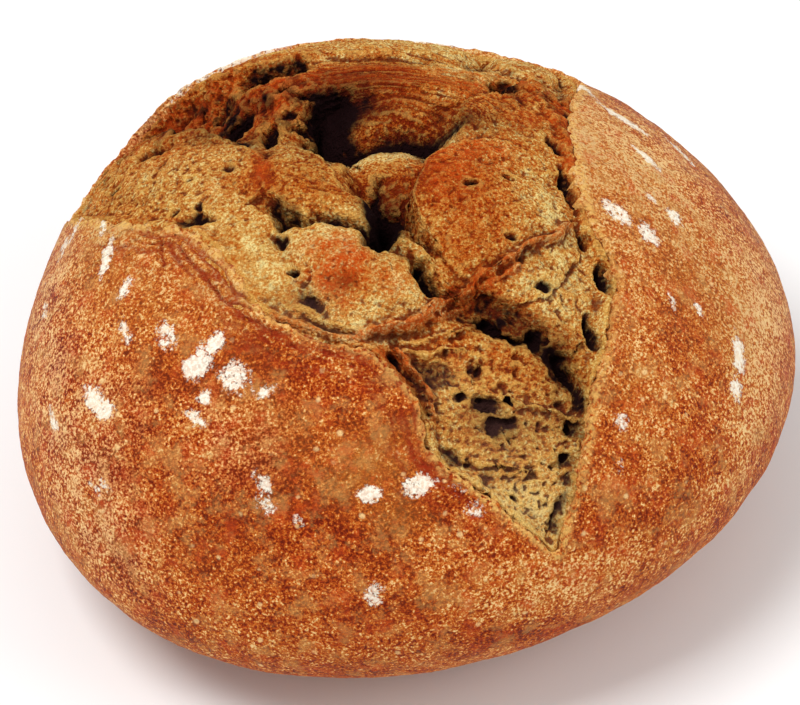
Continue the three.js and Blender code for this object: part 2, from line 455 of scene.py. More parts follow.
@dataclass(frozen=True)
class Hollow(Pit):
    """A bowl whose floor slides back under its wall, by ``lean`` times its depth."""

    lean: float = 0.0


@dataclass(frozen=True)
class Lump(Patch):
    """A low dome of dough with steep sides, rising out of the torn floor.

    ``top`` is the height of its middle, ``dome`` the fall from there to its ellipse,
    ``side`` the slope beyond it and ``blend`` how round it meets what it rises from.
    """

    top: float
    dome: float
    side: float = 2.2
    blend: float = 1.2

    def level(self, place: Array) -> Array:
        """Height of the dome: top less dome times reach squared, then a straight side."""
        reach = self.reach(place)
        beyond = np.maximum(reach - 1.0, 0.0) * min(self.size)
        return self.top - self.dome * np.minimum(reach, 1.0) ** 2 - self.side * beyond


@dataclass(frozen=True)
class Thread:
    """A line on the crust map that is raised or cut as a bell across it.

    ``dark`` is how much painted shade a cut line gets, as a share of its depth.
    """

    name: str
    height: float
    width: float
    path: tuple[Pair, ...]
    dark: float = 1.0

    def off(self, place: Array) -> Array:
        """Distance from each place to the line."""
        return path_distance(place, np.array(self.path))

    def rise(self, place: Array) -> Array:
        """Height of the bell across the line."""
        return self.height * bell(self.off(place), self.width)


@dataclass(frozen=True)
class Tint(Patch):
    """A soft patch that adds to a mark or a measure."""

    amount: float

    def add(self, place: Array) -> Array:
        """Amount of the patch: a bell over its reach."""
        return self.amount * bell(self.reach(place), 1.0)


def rows(kind: type[Patch], table: tuple[tuple, ...]) -> tuple:
    """Patches from rows of name, p, q, two half lengths, turn and what the kind adds."""
    return tuple(kind(name, (p, q), (first, second), turn, *more)
                 for name, p, q, first, second, turn, *more in table)


def summed(tints: tuple[Tint, ...], place: Array) -> Array:
    """Sum of soft patches."""
    return sum(tint.add(place) for tint in tints)


def gathered(tints: tuple[Tint, ...], place: Array) -> Array:
    """Sum of soft patches, held between 0 and 1."""
    return held(summed(tints, place))


def path_distance(place: Array, path: Array) -> Array:
    """Shortest distance from places to a path of straight stretches.

    Args:
        place: Places (p, q) of shape (..., 2).
        path: Points of shape (n, 2).

    Returns:
        Distances of shape (...).
    """
    nearest = np.full(place.shape[:-1], np.inf)
    for start, end in zip(path[:-1], path[1:]):
        run = end - start
        share = held((place - start) @ run / (run @ run))
        gap = place - start - share[..., None] * run
        nearest = np.minimum(nearest, np.hypot(gap[..., 0], gap[..., 1]))
    return nearest


def closed_spline(points: Array, count: int) -> Array:
    """Smooth closed outline through points, evenly spaced.

    Each stretch is a Catmull-Rom cubic of its four nearest points.

    Args:
        points: Corners of shape (n, 2).
        count: Number of points in the result.

    Returns:
        Outline of shape (count, 2), not repeating its first point.
    """
    t = np.linspace(0.0, 1.0, 24, endpoint=False)[:, None]
    before, after, beyond = (np.roll(points, n, axis=0) for n in (1, -1, -2))
    dense = np.concatenate([
        0.5 * (2 * b + (c - a) * t + (2 * a - 5 * b + 4 * c - d) * t ** 2
               + (3 * b - a - 3 * c + d) * t ** 3)
        for a, b, c, d in zip(before, points, after, beyond)])
    loop = np.vstack([dense, dense[:1]])
    length = np.concatenate([[0.0], np.cumsum(np.hypot(*np.diff(loop, axis=0).T))])
    wanted = np.linspace(0.0, length[-1], count, endpoint=False)
    return np.stack([np.interp(wanted, length, loop[:, k]) for k in (0, 1)], axis=-1)


# Corners of the crust's torn edge, anticlockwise.
BURST_RIM = (
    (47, -109), (49, -99), (51, -90), (52, -78), (53, -68), (54, -60), (57, -51), (58, -43),
    (59, -36), (60, -29), (57, -22), (53, -14), (51, -4), (50, 6), (49, 16), (49, 26),
    (50, 36), (52, 48), (52, 62), (46, 75), (34, 81), (20, 83), (6, 80), (-8, 74),
    (-20, 66), (-32, 61), (-45, 60), (-58, 61), (-71, 65), (-84, 66), (-97, 58), (-106, 46),
    (-105, 33), (-95, 19), (-83, 6), (-72, -4), (-60, -12), (-50, -18), (-42, -22), (-35, -30),
    (-30, -38), (-27, -46), (-20, -52), (-10, -57), (0, -60), (6, -66), (10, -73), (10, -80),
    (14, -87), (21, -91), (30, -98), (40, -105),
)

# Bowls of the torn floor: middle, half lengths, turn, depth, painted shade and lean.
# The lumps are laid over them.
HOLLOWS = rows(Hollow, (
    ("well", 9, 12, 22, 13.5, -4, 24, 0, 0.28),
    ("well_deep", -5.5, 10, 6, 13, 0, 11, 0.9, 0.3),
    ("well_back_left", -7, 19, 5.5, 8, 0, 11, 0.95, 0.7),
    ("throat", 8, -13, 8, 22, 5, 18, 0, 0.1),
    ("throat_slot", 5.5, -22, 4, 7, 8, 8, 0.6),
    ("left_trough", -54, 37, 48, 15.5, -40, 8.5, 0.2, 0.3),
    ("left_cave", -34, 24, 4.5, 7, -20, 5, 0.85, 0.4),
    ("left_cave_end", -22, 12, 2.5, 6, 0, 5, 0.8, 0.4),
    ("far_left_cave", -49, 35, 4, 6, -20, 4.5, 0.85, 0.4),
    ("wall_cave", -40, 40, 3, 5, 10, 3, 0.6, 0.3),
    ("wall_cave_left", -60, 48, 3, 4.5, 10, 3, 0.7, 0.3),
    ("edge_cave", -70, 48, 4, 4, -30, 4, 0.85, 0.3),
    ("back_hole", -24, 44, 9, 4.6, 4, 9, 1, 0.7),
    ("back_pore", -20, 31, 1.8, 2.2, 0, 4.5, 1, 0.3),
    ("back_pore_right", -13, 27, 2.6, 1.8, 0, 4, 0.9, 0.3),
    ("back_pore_low", -15, 16, 2.2, 1.4, -10, 3.5, 0.8, 0.3),
    ("corner_hole", 34, 38, 4.8, 5.6, 0, 9, 1, 0.5),
    ("corner_gap", 27, 70, 5.5, 18, -6, 3, 0.1),
    ("corner_dent", 36, 24, 5, 3, 0, 3.5, 0.35, 0.3),
    ("shoulder_notch", -17, -22, 3.6, 5, 10, 8, 0.75, 0.2),
    ("under_ridge", 30, -47, 12, 5, -12, 4, 0.25),
    ("under_ridge_left", 29, -49.5, 2.4, 3.4, 35, 5, 1, 0.2),
    ("under_ridge_middle", 35, -51.5, 3.2, 2, -10, 4.5, 0.8, 0.2),
    ("under_ridge_end", 40.5, -51.5, 2.4, 4.2, 12, 6, 1, 0.2),
    ("edge_hole", 57, -29.5, 2, 4.4, 8, 5, 0.9, 0.2),
    ("side_hole", 54, -46, 1.5, 5, 4, 4, 0.8),
    ("wedge_pit_upper", 13.5, -63.5, 5.6, 3.6, -6, 1.6, 0.45),
    ("wedge_ring", 24.3, -61.5, 2.2, 1.7, 0, 1.6, 0.3),
    ("wedge_pit_left", 20.4, -69, 1.9, 1.3, 0, 2.4, 0.85, 0.2),
    ("wedge_pit_middle", 27, -70, 3.8, 3.2, -12, 3.4, 0.75, 0.2),
    ("wedge_pit_dot", 32.3, -67.8, 1.3, 1.2, 0, 2.4, 0.9, 0.2),
    ("wedge_pit_low", 30.5, -75.5, 4.2, 2.2, 22, 3, 0.75, 0.2),
    ("wedge_pit_high_right", 46.8, -57, 3.6, 6, 24, 3.8, 0.7),
    ("wedge_pit_right", 49, -73, 2.7, 2.2, 10, 3.2, 0.6, 0.2),
    ("wedge_pit_right_low", 48, -82, 2.6, 2.6, 20, 3, 0.55, 0.2),
    ("wedge_edge_left", 16.5, -84.5, 3.2, 2.4, -30, 1.6, 0.45),
    ("wedge_edge_low", 21, -86, 1.4, 1.3, 0, 1.6, 0.5),
    ("wedge_pit_tip", 34, -95, 1.8, 1, -20, 1.6, 0.6),
))

WELL = HOLLOWS[0]

# Small holes cut after the lumps: middle, half lengths, turn, depth and painted shade.
PITS = rows(Pit, (
    ("wall_slot_high", -11, 18.5, 2.4, 1.5, 0, 1.8, 0.85),
    ("wall_dot_high", -18, 20, 2.3, 1.5, 0, 2, 0.9),
    ("wall_dot", -12.5, 11, 1.5, 1.2, 0, 1.4, 0.7),
    ("wall_cave_middle", -35, 20.5, 2.4, 3.2, -20, 2.4, 0.9),
    ("wall_cave_near", -48, 23.5, 2.4, 4.6, -20, 2.8, 0.9),
    ("orange_scoop", -56.5, 15, 7, 2.4, -24, 2.6, 0.35),
    ("shelf_slot", -40, -19, 5, 1.6, -12, 2.4, 0.75),
    ("shelf_pit", -38, -16, 1.2, 1.4, 0, 1.8, 0.8),
    ("shelf_pit_left", -45, -15, 1.4, 0.9, 20, 1.2, 0.5),
    ("shelf_pit_high", -31, -5, 1.6, 1, 0, 1.2, 0.4),
    ("shelf_pit_back", -40.5, -5.5, 1.1, 0.8, 0, 1, 0.5),
    ("shelf_pit_far", -69, 8, 2.2, 1, -30, 1.4, 0.4),
    ("groove_pit_top", -18, -31, 1.6, 1.8, 20, 1.8, 0.5),
    ("groove_pit_middle", -16.2, -39, 1.6, 1.2, 0, 2.4, 0.85),
    ("groove_pit_low", -13, -46.5, 3.2, 1.5, -20, 1.6, 0.45),
    ("mound_pit", 25.5, -12.5, 1.2, 0.9, 0, 1.8, 0.8),
    ("mound_pit_right", 34.5, -8.5, 1.4, 1.2, 0, 1.6, 0.7),
    ("mound_pit_low", 33.5, -27, 1.2, 1, 0, 1.6, 0.6),
    ("mound_crack_high", 45, 9, 1.4, 3, 30, 2, 0.7),
    ("mound_crack", 48.5, 22, 1.3, 5, 16, 2.4, 0.7),
    ("mound_crack_low", 48, -5, 1.1, 7, 14, 2.4, 0.8),
    ("mound_crack_end", 52, -20, 1.1, 2.4, 10, 2, 0.6),
    ("strip_hole", 43, -36, 2.1, 1.3, 20, 2.6, 0.95),
    ("strip_hole_small", 35.5, -33, 1.5, 0.7, 10, 1, 0.3),
))

# Domes of dough: middle, half lengths, turn, top, dome, side and blend.
LUMPS = rows(Lump, (
    ("left_shelf", -49, -5, 29, 15, -12, -1.2, 0.8),
    ("shelf_back", -60, 7, 42, 17, -31, -1.4, 0.8, 3),
    ("peeled_slope", -28, -33, 11, 20, 28, -1, 1),
    ("shoulder", -14, -11, 11, 8, -35, -0.6, 1.6, 3),
    ("shoulder_fold", -7, -20, 14, 5, -22, -1, 1.6, 3),
    ("brow", -3, -39.5, 21, 13.5, -15, 0.8, 2.4, 3),
    ("right_mound", 32, -19, 18, 24, 8, 0.8, 3.4, 7),
    ("island", 11.5, -3, 14, 12, 0, -9.5, 4.5, 2.4, 3),
    ("island_flank", 9.5, -16, 8, 13, 0, -16, 3, 1.6, 4),
    ("well_bulge", 11, 25, 15, 9, 0, -7.5, 4, 1.4, 12),
    ("back_left_crest", -28, 52, 15, 5, 0, -0.2, 0.5, 2.4),
    ("back_crest", 0, 66, 23, 15, -4, -0.3, 0.8, 1.2),
    ("mound_back", 37, 12, 13, 17, 6, -0.4, 1.4, 2.2, 5),
    ("corner_tuft", 39, 67, 8, 17, 8, -0.4, 1.2, 1.4),
    ("corner_spur", 42, 28, 5, 15, 8, 0.2, 1.6),
))

# Threads and folds that stand up: height, width and path.
RIDGES = (
    Thread("torn_ridge", 3.0, 0.85,
           ((-2, -54.5), (4, -53.5), (13, -51.5), (18, -46),
            (25, -39.5), (34.5, -32), (44, -23), (48, -18))),
    Thread("torn_ridge_low", 0.9, 0.5, ((15, -50.5), (23, -44), (30, -38.5), (36, -33.5))),
    Thread("split_lip", 3.4, 0.9, ((5.5, -58), (9.5, -63.5), (12.5, -68), (14.5, -73.5))),
    Thread("torn_flap", 2.2, 0.8, ((-21, -49), (-17, -51.5), (-12.5, -53.8), (-7, -56), (-2, -55))),
    Thread("strand_high", 1.3, 0.6, ((7, -56), (15, -55), (22, -52), (28, -48))),
    Thread("strand_middle", 1.3, 0.6, ((8, -58), (16, -58.5), (22, -57))),
    Thread("wedge_thread", 1.3, 0.7, ((20, -85.5), (30, -84.5), (39, -85.5))),
    Thread("wedge_thread_high", 1.8, 0.8, ((34, -67.5), (41, -69.5), (48, -70), (51.5, -74), (52, -80))),
    Thread("mound_fold", 1.2, 1.3, ((44, 22), (47, 17), (49, 8), (52, -4), (54, -12))),
)

RED_RIDGES = RIDGES[:4]

# Cracks and grooves: height, width, path and painted shade.
SPLITS = (
    Thread("brow_split", -7.0, 1.7, ((13, -37), (15.5, -41), (17, -44))),
    Thread("brow_valley", -2.4, 1.5, ((5, -30), (9, -33), (13, -37))),
    Thread("red_split", -6.0, 1.9, ((3.5, -60), (6.5, -65), (9.5, -69), (12.5, -73.5)), 0.3),
    Thread("flap_shadow", -2.6, 0.8, ((-21.5, -50.6), (-13, -55.4), (-6.5, -58))),
    Thread("groove", -1.4, 2.6, ((-19, -30), (-15, -40), (-10, -49))),
    Thread("shoulder_fold", -4.0, 1.2, ((-18, -25.5), (-10, -24.5), (-1, -27), (3, -31))),
    Thread("island_groove", -3.0, 1.2, ((5.5, -6), (5.5, -16), (6, -24))),
    Thread("throat_tip", -13.0, 2.4, ((7, -20), (6, -26), (4.8, -31.5))),
    Thread("wedge_split", -4.4, 1.5,
           ((47, -53), (51, -62), (51.5, -71), (50.5, -82), (48.5, -93), (46.5, -103)), 0.8),
)

# Where the edge of the crust lies low and runs evenly into the dough.
RIM_CALM = rows(Tint, (
    ("right_high", 54, 10, 14, 34, 0, 1),
    ("left_shelf", -68, -8, 34, 12, -10, 0.9),
    ("left_slope", -36, -34, 14, 28, 40, 0.9),
    ("left_end", -102, 38, 14, 28, 0, 0.9),
    ("back", 0, 78, 70, 18, 0, 0.8),
))


@dataclass
class BurstForm:
    """The height of the torn dough inside the burst, and where the crust ends."""

    rim_points: int = 480
    lip: float = 0.5
    lip_reach: float = 3.6
    floor: float = -3.6
    floor_edge: float = 4.5  # width over which the floor drops from the rim
    hold: float = 0.15  # how far past the rim the forms run, in floor edges
    filled: float = 12.0  # a hollow filled by this much doesn't slide back
    tuck: float = 2.4  # how far the dough dips under the crust's edge
    tuck_start: float = -0.5
    tuck_width: float = 2.5
    calm_tuck: float = 0.75  # share of the tuck left out at a calm rim
    warp: float = 1.5
    warp_size: float = 9.0
    fine_warp: Mottle = Mottle(0.9, 3.4, 2)
    split_depth: float = 5.0  # a split this deep gets full painted shade
    dark_start: float = -0.5
    dark_depth: float = 3.0  # painted shade in the hollows grows over this much depth
    map_low: Pair = (-126.0, -140.0)
    map_high: Pair = (92.0, 92.0)
    map_step: float = 0.5
    noise: Noise = field(default_factory=lambda: Noise(11))

    def __post_init__(self) -> None:
        """Work out the rim and the map of distances to it, once."""
        self.rim = closed_spline(np.array(BURST_RIM, dtype=float), self.rim_points)
        self.distances = self._distance_map()

    def _distance_map(self) -> Array:
        """Measure the signed distance to the rim on a grid of places.

        A place is inside the rim if a line from it towards +p crosses the rim an odd
        number of times.

        Returns:
            Distances of shape (rows, columns), positive inside the rim, rows along q.
        """
        p = np.arange(self.map_low[0], self.map_high[0], self.map_step)
        q = np.arange(self.map_low[1], self.map_high[1], self.map_step)
        place = np.stack(np.meshgrid(p, q), axis=-1)
        loop = np.vstack([self.rim, self.rim[:1]])
        distance = path_distance(place, loop)
        inside = np.zeros(distance.shape, dtype=bool)
        for a, b in zip(loop[:-1], loop[1:]):
            spans = (a[1] > place[..., 1]) != (b[1] > place[..., 1])
            at = (b[0] - a[0]) * (place[..., 1] - a[1]) / (b[1] - a[1] + 1e-12) + a[0]
            inside ^= spans & (place[..., 0] < at)
        return np.where(inside, distance, -distance)

    def inside(self, place: Array) -> Array:
        """Look up distances inside the rim, blended from the map's four nearest.

        Args:
            place: Places (p, q) of shape (..., 2).

        Returns:
            Distances of shape (...), negative outside the rim.
        """
        d = self.distances
        u = np.clip((place[..., 0] - self.map_low[0]) / self.map_step, 0, d.shape[1] - 1.001)
        v = np.clip((place[..., 1] - self.map_low[1]) / self.map_step, 0, d.shape[0] - 1.001)
        i, j = u.astype(int), v.astype(int)
        s, t = u - i, v - j
        return ((d[j, i] * (1 - s) + d[j, i + 1] * s) * (1 - t)
                + (d[j + 1, i] * (1 - s) + d[j + 1, i + 1] * s) * t)

    def lip_height(self, inside: Array) -> Array:
        """How far the crust curls up beside the tear: a bell over the distance to it."""
        return self.lip * bell(inside, self.lip_reach)

    def warped(self, place: Array) -> Array:
        """Places shifted by slow and quick noise, so that outlines wander."""
        flat = flattened(place)
        shift = [self.warp * self.noise.smooth(flat + 40.0 * k, self.warp_size)
                 + self.fine_warp.over(self.noise, flat + 90.0 * k) for k in (1, 2)]
        return place + np.stack(shift, axis=-1)

    def forms(self, place: Array) -> tuple[Array, Array]:
        """Height of the torn dough without its grain, and how far it slides back.

        Hollows are cut into the floor, lumps laid over them as the larger of two
        heights, and pits, ridges and splits come last.

        Args:
            place: Places (p, q) of shape (..., 2).

        Returns:
            Heights over the plain loaf and slides along +q, each of shape (...).
        """
        inside = self.inside(place)
        at = self.warped(place)
        shares = [hollow.share(at) for hollow in HOLLOWS]
        bare = self.floor * ease(inside / self.floor_edge)
        bare = bare - sum(hollow.depth * share for hollow, share in zip(HOLLOWS, shares))
        height = bare
        for lump in LUMPS:
            height = rounded_max(height, lump.level(at), lump.blend)
        slide = sum(hollow.lean * hollow.depth * share for hollow, share in zip(HOLLOWS, shares))
        slide = slide * ease((bare + self.filled - height) / self.filled)
        height = height - sum(pit.depth * pit.share(at) for pit in PITS)
        height = height + sum(line.rise(at) for line in RIDGES + SPLITS)
        share = ease(inside / self.floor_edge + self.hold)
        tuck = self.tuck * (1.0 - self.calm_tuck * gathered(RIM_CALM, place))
        tucked = -tuck * (1.0 - ease((inside - self.tuck_start) / self.tuck_width))
        return tucked + height * share, slide * share

    def surface(self, place: Array, height: Array, slide: Array) -> Array:
        """Points of the torn dough, whose deep floors slide back under their walls.

        Args:
            place: Places (p, q) of shape (..., 2).
            height: Heights over the plain loaf.
            slide: Slides along +q.

        Returns:
            Points of shape (..., 3) in millimetres.
        """
        shift = np.stack([np.zeros(slide.shape), slide], axis=-1)
        return BODY.lifted(place + shift, height)

    def darkness(self, at: Array, height: Array) -> Array:
        """Painted shade in the holes: the largest of hollows, splits and pits.

        Hollows and splits get less painted shade where a lump fills them.

        Args:
            at: Warped places of shape (..., 2).
            height: Heights over the plain loaf.

        Returns:
            Shares of shape (...).
        """
        hollows = np.max([hollow.gloom(at) for hollow in HOLLOWS], axis=0)
        splits = np.max([-line.dark * line.rise(at) for line in SPLITS], axis=0) / self.split_depth
        pits = np.max([pit.gloom(at) for pit in PITS], axis=0)
        deep = held(np.maximum(hollows, splits)) * ease((self.dark_start - height) / self.dark_depth)
        return np.maximum(deep, pits)


BURST = BurstForm()


# ---- Grids and meshes ----


def respaced(grid: Array, points: Array, keep: float) -> Array:
    """Move a grid's places along its rows so that steps over the surface even out.

    Each row is re-sampled at equal steps of a blend of its length over the
    surface and its plain count of steps.

    Args:
        grid: Places of shape (rows, columns, 2).
        points: The surface at those places, of shape (rows, columns, 3).
        keep: Share of the old, even count that stays, from 0 to 1.

    Returns:
        New places of the same shape as ``grid``.
    """
    step = np.linalg.norm(np.diff(points, axis=1), axis=-1)
    share = step / np.sum(step, axis=1, keepdims=True)
    share = (1.0 - keep) * share + keep / share.shape[1]
    length = np.concatenate([np.zeros((len(grid), 1)), np.cumsum(share, axis=1)], axis=1)
    even = np.linspace(0.0, 1.0, grid.shape[1])
    return np.stack([
        np.stack([np.interp(even, along, row[:, k]) for k in (0, 1)], axis=-1)
        for along, row in zip(length, grid)])


def refined(grid: Array, times: int) -> Array:
    """Split every step of a grid into ``times`` equal steps, along rows and columns."""
    for axis in (0, 1):
        moved = np.moveaxis(grid, axis, 0)
        share = (np.arange(times) / times)[None, :, None, None]
        between = moved[:-1, None] * (1.0 - share) + moved[1:, None] * share
        dense = between.reshape((-1,) + moved.shape[1:])
        grid = np.moveaxis(np.concatenate([dense, moved[-1:]]), 0, axis)
    return grid


def blurred(values: Array, radius: int) -> Array:
    """Mean over a square of 2 * radius + 1 grid steps, with the edge values repeated."""
    span = 2 * radius + 1
    for axis in (0, 1):
        moved = np.moveaxis(values, axis, 0)
        before, after = [moved[:1]] * (radius + 1), [moved[-1:]] * radius
        total = np.cumsum(np.concatenate([*before, moved, *after]), axis=0)
        values = np.moveaxis((total[span:] - total[:-span]) / span, 0, axis)
    return values


def grid_normals(points: Array) -> Array:
    """Unit normals of a grid: the cross product of its steps along columns and rows."""
    return unit(np.cross(np.gradient(points, axis=1), np.gradient(points, axis=0)))


def sunk(points: Array, normals: Array, radius: int) -> Array:
    """How far each point of a grid lies under the mean of its neighbours."""
    return np.sum((blurred(points, radius) - points) * normals, axis=-1)


@dataclass
class Sheet:
    """A grid surface with values at its vertices, ready to become a mesh.

    ``wrap`` joins the last column to the first, ``flip`` turns the faces over, ``pole``
    closes the last row round one vertex, and ``kept`` says which quads stay.
    """

    points: Array
    marks: dict[str, Array]
    wrap: bool = False
    flip: bool = False
    pole: bool = False
    kept: Array | None = None

    def faces(self) -> Array:
        """Corner numbers of the quads that are kept, of shape (faces, 4)."""
        rows, columns = self.points.shape[:2]
        number = np.arange(rows * columns).reshape(rows, columns)
        if self.wrap:
            number = np.concatenate([number, number[:, :1]], axis=1)
        quads = np.stack([number[:-1, :-1], number[:-1, 1:], number[1:, 1:], number[1:, :-1]], axis=-1)
        if self.kept is not None:
            quads = quads[self.kept]
        quads = quads.reshape(-1, 4)
        return quads[:, ::-1] if self.flip else quads

    def fan(self, first: int) -> Array:
        """Corners of the triangles from the last row, numbered from ``first``, to a middle."""
        count = self.points.shape[1]
        ring = np.arange(first, first + count)
        middle = np.full(count, first + count)
        after = np.roll(ring, -1)
        order = (ring, middle, after) if self.flip else (ring, after, middle)
        return np.stack(order, axis=-1).ravel()

    def build(self, name: str) -> bpy.types.Object:
        """Make the mesh and its object.

        Args:
            name: Name of the object and of its mesh.

        Returns:
            The new object, in metres, linked into the scene.
        """
        used, corners = np.unique(self.faces(), return_inverse=True)
        loops = corners.reshape(-1)
        sizes = np.full(len(loops) // 4, 4)
        points = self.points.reshape(-1, 3)[used] * MM
        values = {key: mark.reshape(-1)[used] for key, mark in self.marks.items()}
        if self.pole:
            count = self.points.shape[1]
            loops = np.append(loops, self.fan(len(points) - count))
            sizes = np.append(sizes, np.full(count, 3))
            points = np.vstack([points, points[-count:].mean(axis=0)])
            values = {key: np.append(value, value[-count:].mean()) for key, value in values.items()}
        starts = np.cumsum(sizes) - sizes
        mesh = bpy.data.meshes.new(name)
        mesh.vertices.add(len(points))
        mesh.vertices.foreach_set("co", points.astype(np.float32).ravel())
        mesh.loops.add(len(loops))
        mesh.loops.foreach_set("vertex_index", loops.astype(np.int32))
        mesh.polygons.add(len(starts))
        mesh.polygons.foreach_set("loop_start", starts.astype(np.int32))
        mesh.polygons.foreach_set("loop_total", sizes.astype(np.int32))
        mesh.polygons.foreach_set("use_smooth", np.ones(len(starts), dtype=bool))
        for key, value in values.items():
            mark = mesh.attributes.new(key, "FLOAT", "POINT")
            mark.data.foreach_set("value", value.astype(np.float32))
        mesh.update(calc_edges=True)
        mesh.validate()
        piece = bpy.data.objects.new(name, mesh)
        bpy.context.scene.collection.objects.link(piece)
        return piece


# ---- The torn crumb ----


# Where the dough is more toasted, and less where the amount is under 0. The arch, bulge_foot, island_foot
# and under_ridge patches are partly painted shade: they darken the hollow under the back wall, the feet of
# lumps and the hollow under the ridge.
CRUMB_TOAST = rows(Tint, (
    ("left_wall", -58, 42, 42, 18, -34, 0.66),
    ("left_rim", -74, 56, 28, 9, -10, 0.4),
    ("back_wall", 10, 34, 36, 14, 0, 0.52),
    ("back_arc", 2, 31, 16, 7, -6, 0.3),
    ("back_face", 12, 19, 12, 6, 0, 0.22),
    ("arch", -1, 33, 10, 9, 20, 0.6),
    ("back_pale", 24, 36, 7, 14, 24, -0.3),
    ("back_right", 30, 20, 6, 14, 10, 0.3),
    ("back_top", 14, 58, 40, 10, 0, -0.12),
    ("bulge_top", 10, 25, 9, 4, 0, -0.16),
    ("bulge_foot", 12, 16, 15, 4, 0, 0.4),
    ("back_left", -20, 32, 12, 14, 0, 0.25),
    ("island_top", 9, 5, 12, 6, 0, -0.38),
    ("island_foot", 9, -10, 11, 9, 0, 0.7),
    ("mound", 26, -17, 16, 22, 8, 0.34),
    ("mound_low", 24, -36, 12, 6, -20, 0.12),
    ("brow_pale", 9, -46, 12, 7, 0, -0.14),
    ("brow_top", -8, -29, 12, 4, 0, -0.16),
    ("brow_spot", -4, -43, 5, 3.5, 0, 0.5),
    ("shoulder", -12, -15, 10, 7, -30, 0.34),
    ("shoulder_hollow", -23, -9, 4, 9, 0, 0.42),
    ("strip_high", 40, -36, 8, 5, -30, -0.1),
    ("under_ridge", 30, -47, 13, 5, -12, 0.4),
    ("red_split", 6.5, -67, 3, 7, 30, 0.3),
    ("red_knot", 2, -59, 6, 3, 0, 0.2),
    ("corner", 38, 34, 12, 16, 0, 0.2),
    ("corner_pale", 24, 44, 8, 11, -30, -0.26),
    ("right_crack", 50, 8, 4, 18, 10, 0.3),
    ("shelf_left", -72, 4, 8, 12, 0, 0.16),
    ("wedge_top", 26, -60, 20, 10, -8, 0.2),
    ("wedge_middle", 33, -74, 16, 10, 0, 0.14),
    ("wedge_right", 44, -54, 8, 10, 20, 0.3),
    ("shelf_red", -22.5, -7, 3, 9, 8, 0.25),
    ("peeled", -27, -36, 9, 16, 28, -0.18),
    ("strip_low", -2, -55, 14, 4, -6, -0.22),
    ("strip_near", 43, -39, 9, 8, 0, -0.2),
    ("wedge_low", 38, -97, 12, 9, 0, -0.34),
    ("mound_pale", 43, -17, 7, 13, 10, -0.3),
))

# Where it is reddish.
CRUMB_RED = rows(Tint, (
    ("left_wall", -58, 42, 42, 18, -34, 0.9),
    ("left_rim", -74, 56, 28, 8, -10, 0.6),
    ("left_end", -82, 14, 6, 14, 20, 0.5),
    ("back_left", -18, 34, 12, 18, 0, 0.5),
    ("back_wall", 12, 34, 26, 10, 0, 0.55),
    ("mound", 24, -16, 12, 20, 8, 0.45),
    ("mound_edge", 20, -7, 5, 9, 20, 0.5),
    ("mound_top", 27, 0, 9, 6, 0, 0.7),
    ("brow", -8, -38, 7, 9, -20, 1),
    ("brow_high", -2, -36, 3, 5, 20, 1.2),
    ("brow_spot", -5, -43, 4, 4, 0, 1.2),
    ("brow_right", 6, -42, 4, 5, 0, 0.5),
    ("shoulder_side", -22, -8, 4, 9, 0, 0.45),
    ("shelf", -23, -6, 2.4, 9, 8, 0.45),
    ("shelf_middle", -33, -11, 4, 4, 0, 0.35),
    ("scoop", -57, 15, 9, 3, -24, 0.5),
    ("shelf_high", -52, 6, 16, 5, -10, 0.2),
    ("right_rim", 50, 14, 5, 30, 4, 0.4),
    ("left_rim_low", -48, -20, 14, 4, -20, 0.3),
    ("under_ridge", 30, -45, 14, 4, -12, 0.5),
    ("split", 6.5, -67, 3, 7, 30, 0.9),
    ("knot", 2, -59, 6, 3, 0, 0.8),
    ("wedge_top", 20, -56, 18, 6, -10, 0.3),
    ("island_front", 9, -12, 9, 5, 0, 0.2),
    ("corner", 38, 40, 12, 14, 0, 0.6),
    ("corner_low", 40, 16, 6, 8, 0, 0.4),
    ("crack", 48, 8, 3, 16, 10, 0.5),
))

# Painted shade: where the dough is painted dark as shadow, as in the caves and under the walls.
CRUMB_SHADE = rows(Tint, (
    ("arch_deep", -1, 26, 9, 5, 20, 0.4),
    ("bulge_low", 12, 11, 13, 5, 0, 0.3),
    ("crag_left", -48, 29, 6, 5, -30, 0.5),
    ("crag_edge", -63, 35, 5, 5, -30, 0.55),
    ("crag_foot", -52, 24, 7, 3, -34, 0.35),
    ("crag_middle", -36, 28, 4, 4, 0, 0.4),
    ("crag_low", -30, 11, 4, 3, 0, 0.5),
    ("crag_right", -26, 31, 4, 3, 0, 0.4),
    ("throat", 7, -17, 6, 8, 0, 0.75),
    ("throat_tip", 5.5, -26, 4, 7, 0, 0.9),
    ("under_wall", 13, 11.5, 17, 4, 0, 0.9),
    ("under_arc", -1, 21, 10, 3, 10, 0.7),
    ("arc_dark", 2, 36, 14, 4, -4, 0.2),
    ("brow_spot", -5, -43.5, 3.2, 2.2, 20, 0.45),
    ("brow_web", -15, -45, 4, 3, 0, 0.3),
    ("well_corner", -9, 20, 5, 8, 0, 0.8),
    ("wall_foot", -54, 29, 38, 6, -42, 0.55),
    ("arch_left", -4, 32, 8, 8, 30, 0.3),
    ("well_left", -9, 4, 4, 12, 0, 0.5),
    ("wedge_right", 50, -62, 3, 12, 14, 0.25),
    ("wall_dark", -34, 32, 5, 9, -10, 0.3),
    ("wall_dark_left", -66, 44, 6, 7, -30, 0.35),
    ("ridge_back", 33, -46, 11, 3, -12, 0.45),
    ("wedge_web", 30, -75, 11, 6, 0, 0.42),
    ("wedge_edge", 45, -66, 4, 9, 10, 0.35),
    ("wedge_side", 44, -52, 6, 6, 0, 0.3),
    ("under_ridge", 33, -51, 11, 3, -12, 0.35),
))

# Where it is pale and grey, as in the wedge.
CRUMB_GREY = rows(Tint, (
    ("wedge", 35, -92, 20, 15, -20, 0.75),
    ("wedge_high", 34, -72, 16, 10, 0, 0.25),
    ("wedge_left", 18, -66, 8, 6, 0, 0.4),
    ("strip", 47, -38, 10, 9, 0, 0.2),
    ("shelf", -50, -4, 26, 12, -12, 0.12),
    ("brow_foot", -14, -48, 7, 5, 0, 0.5),
))

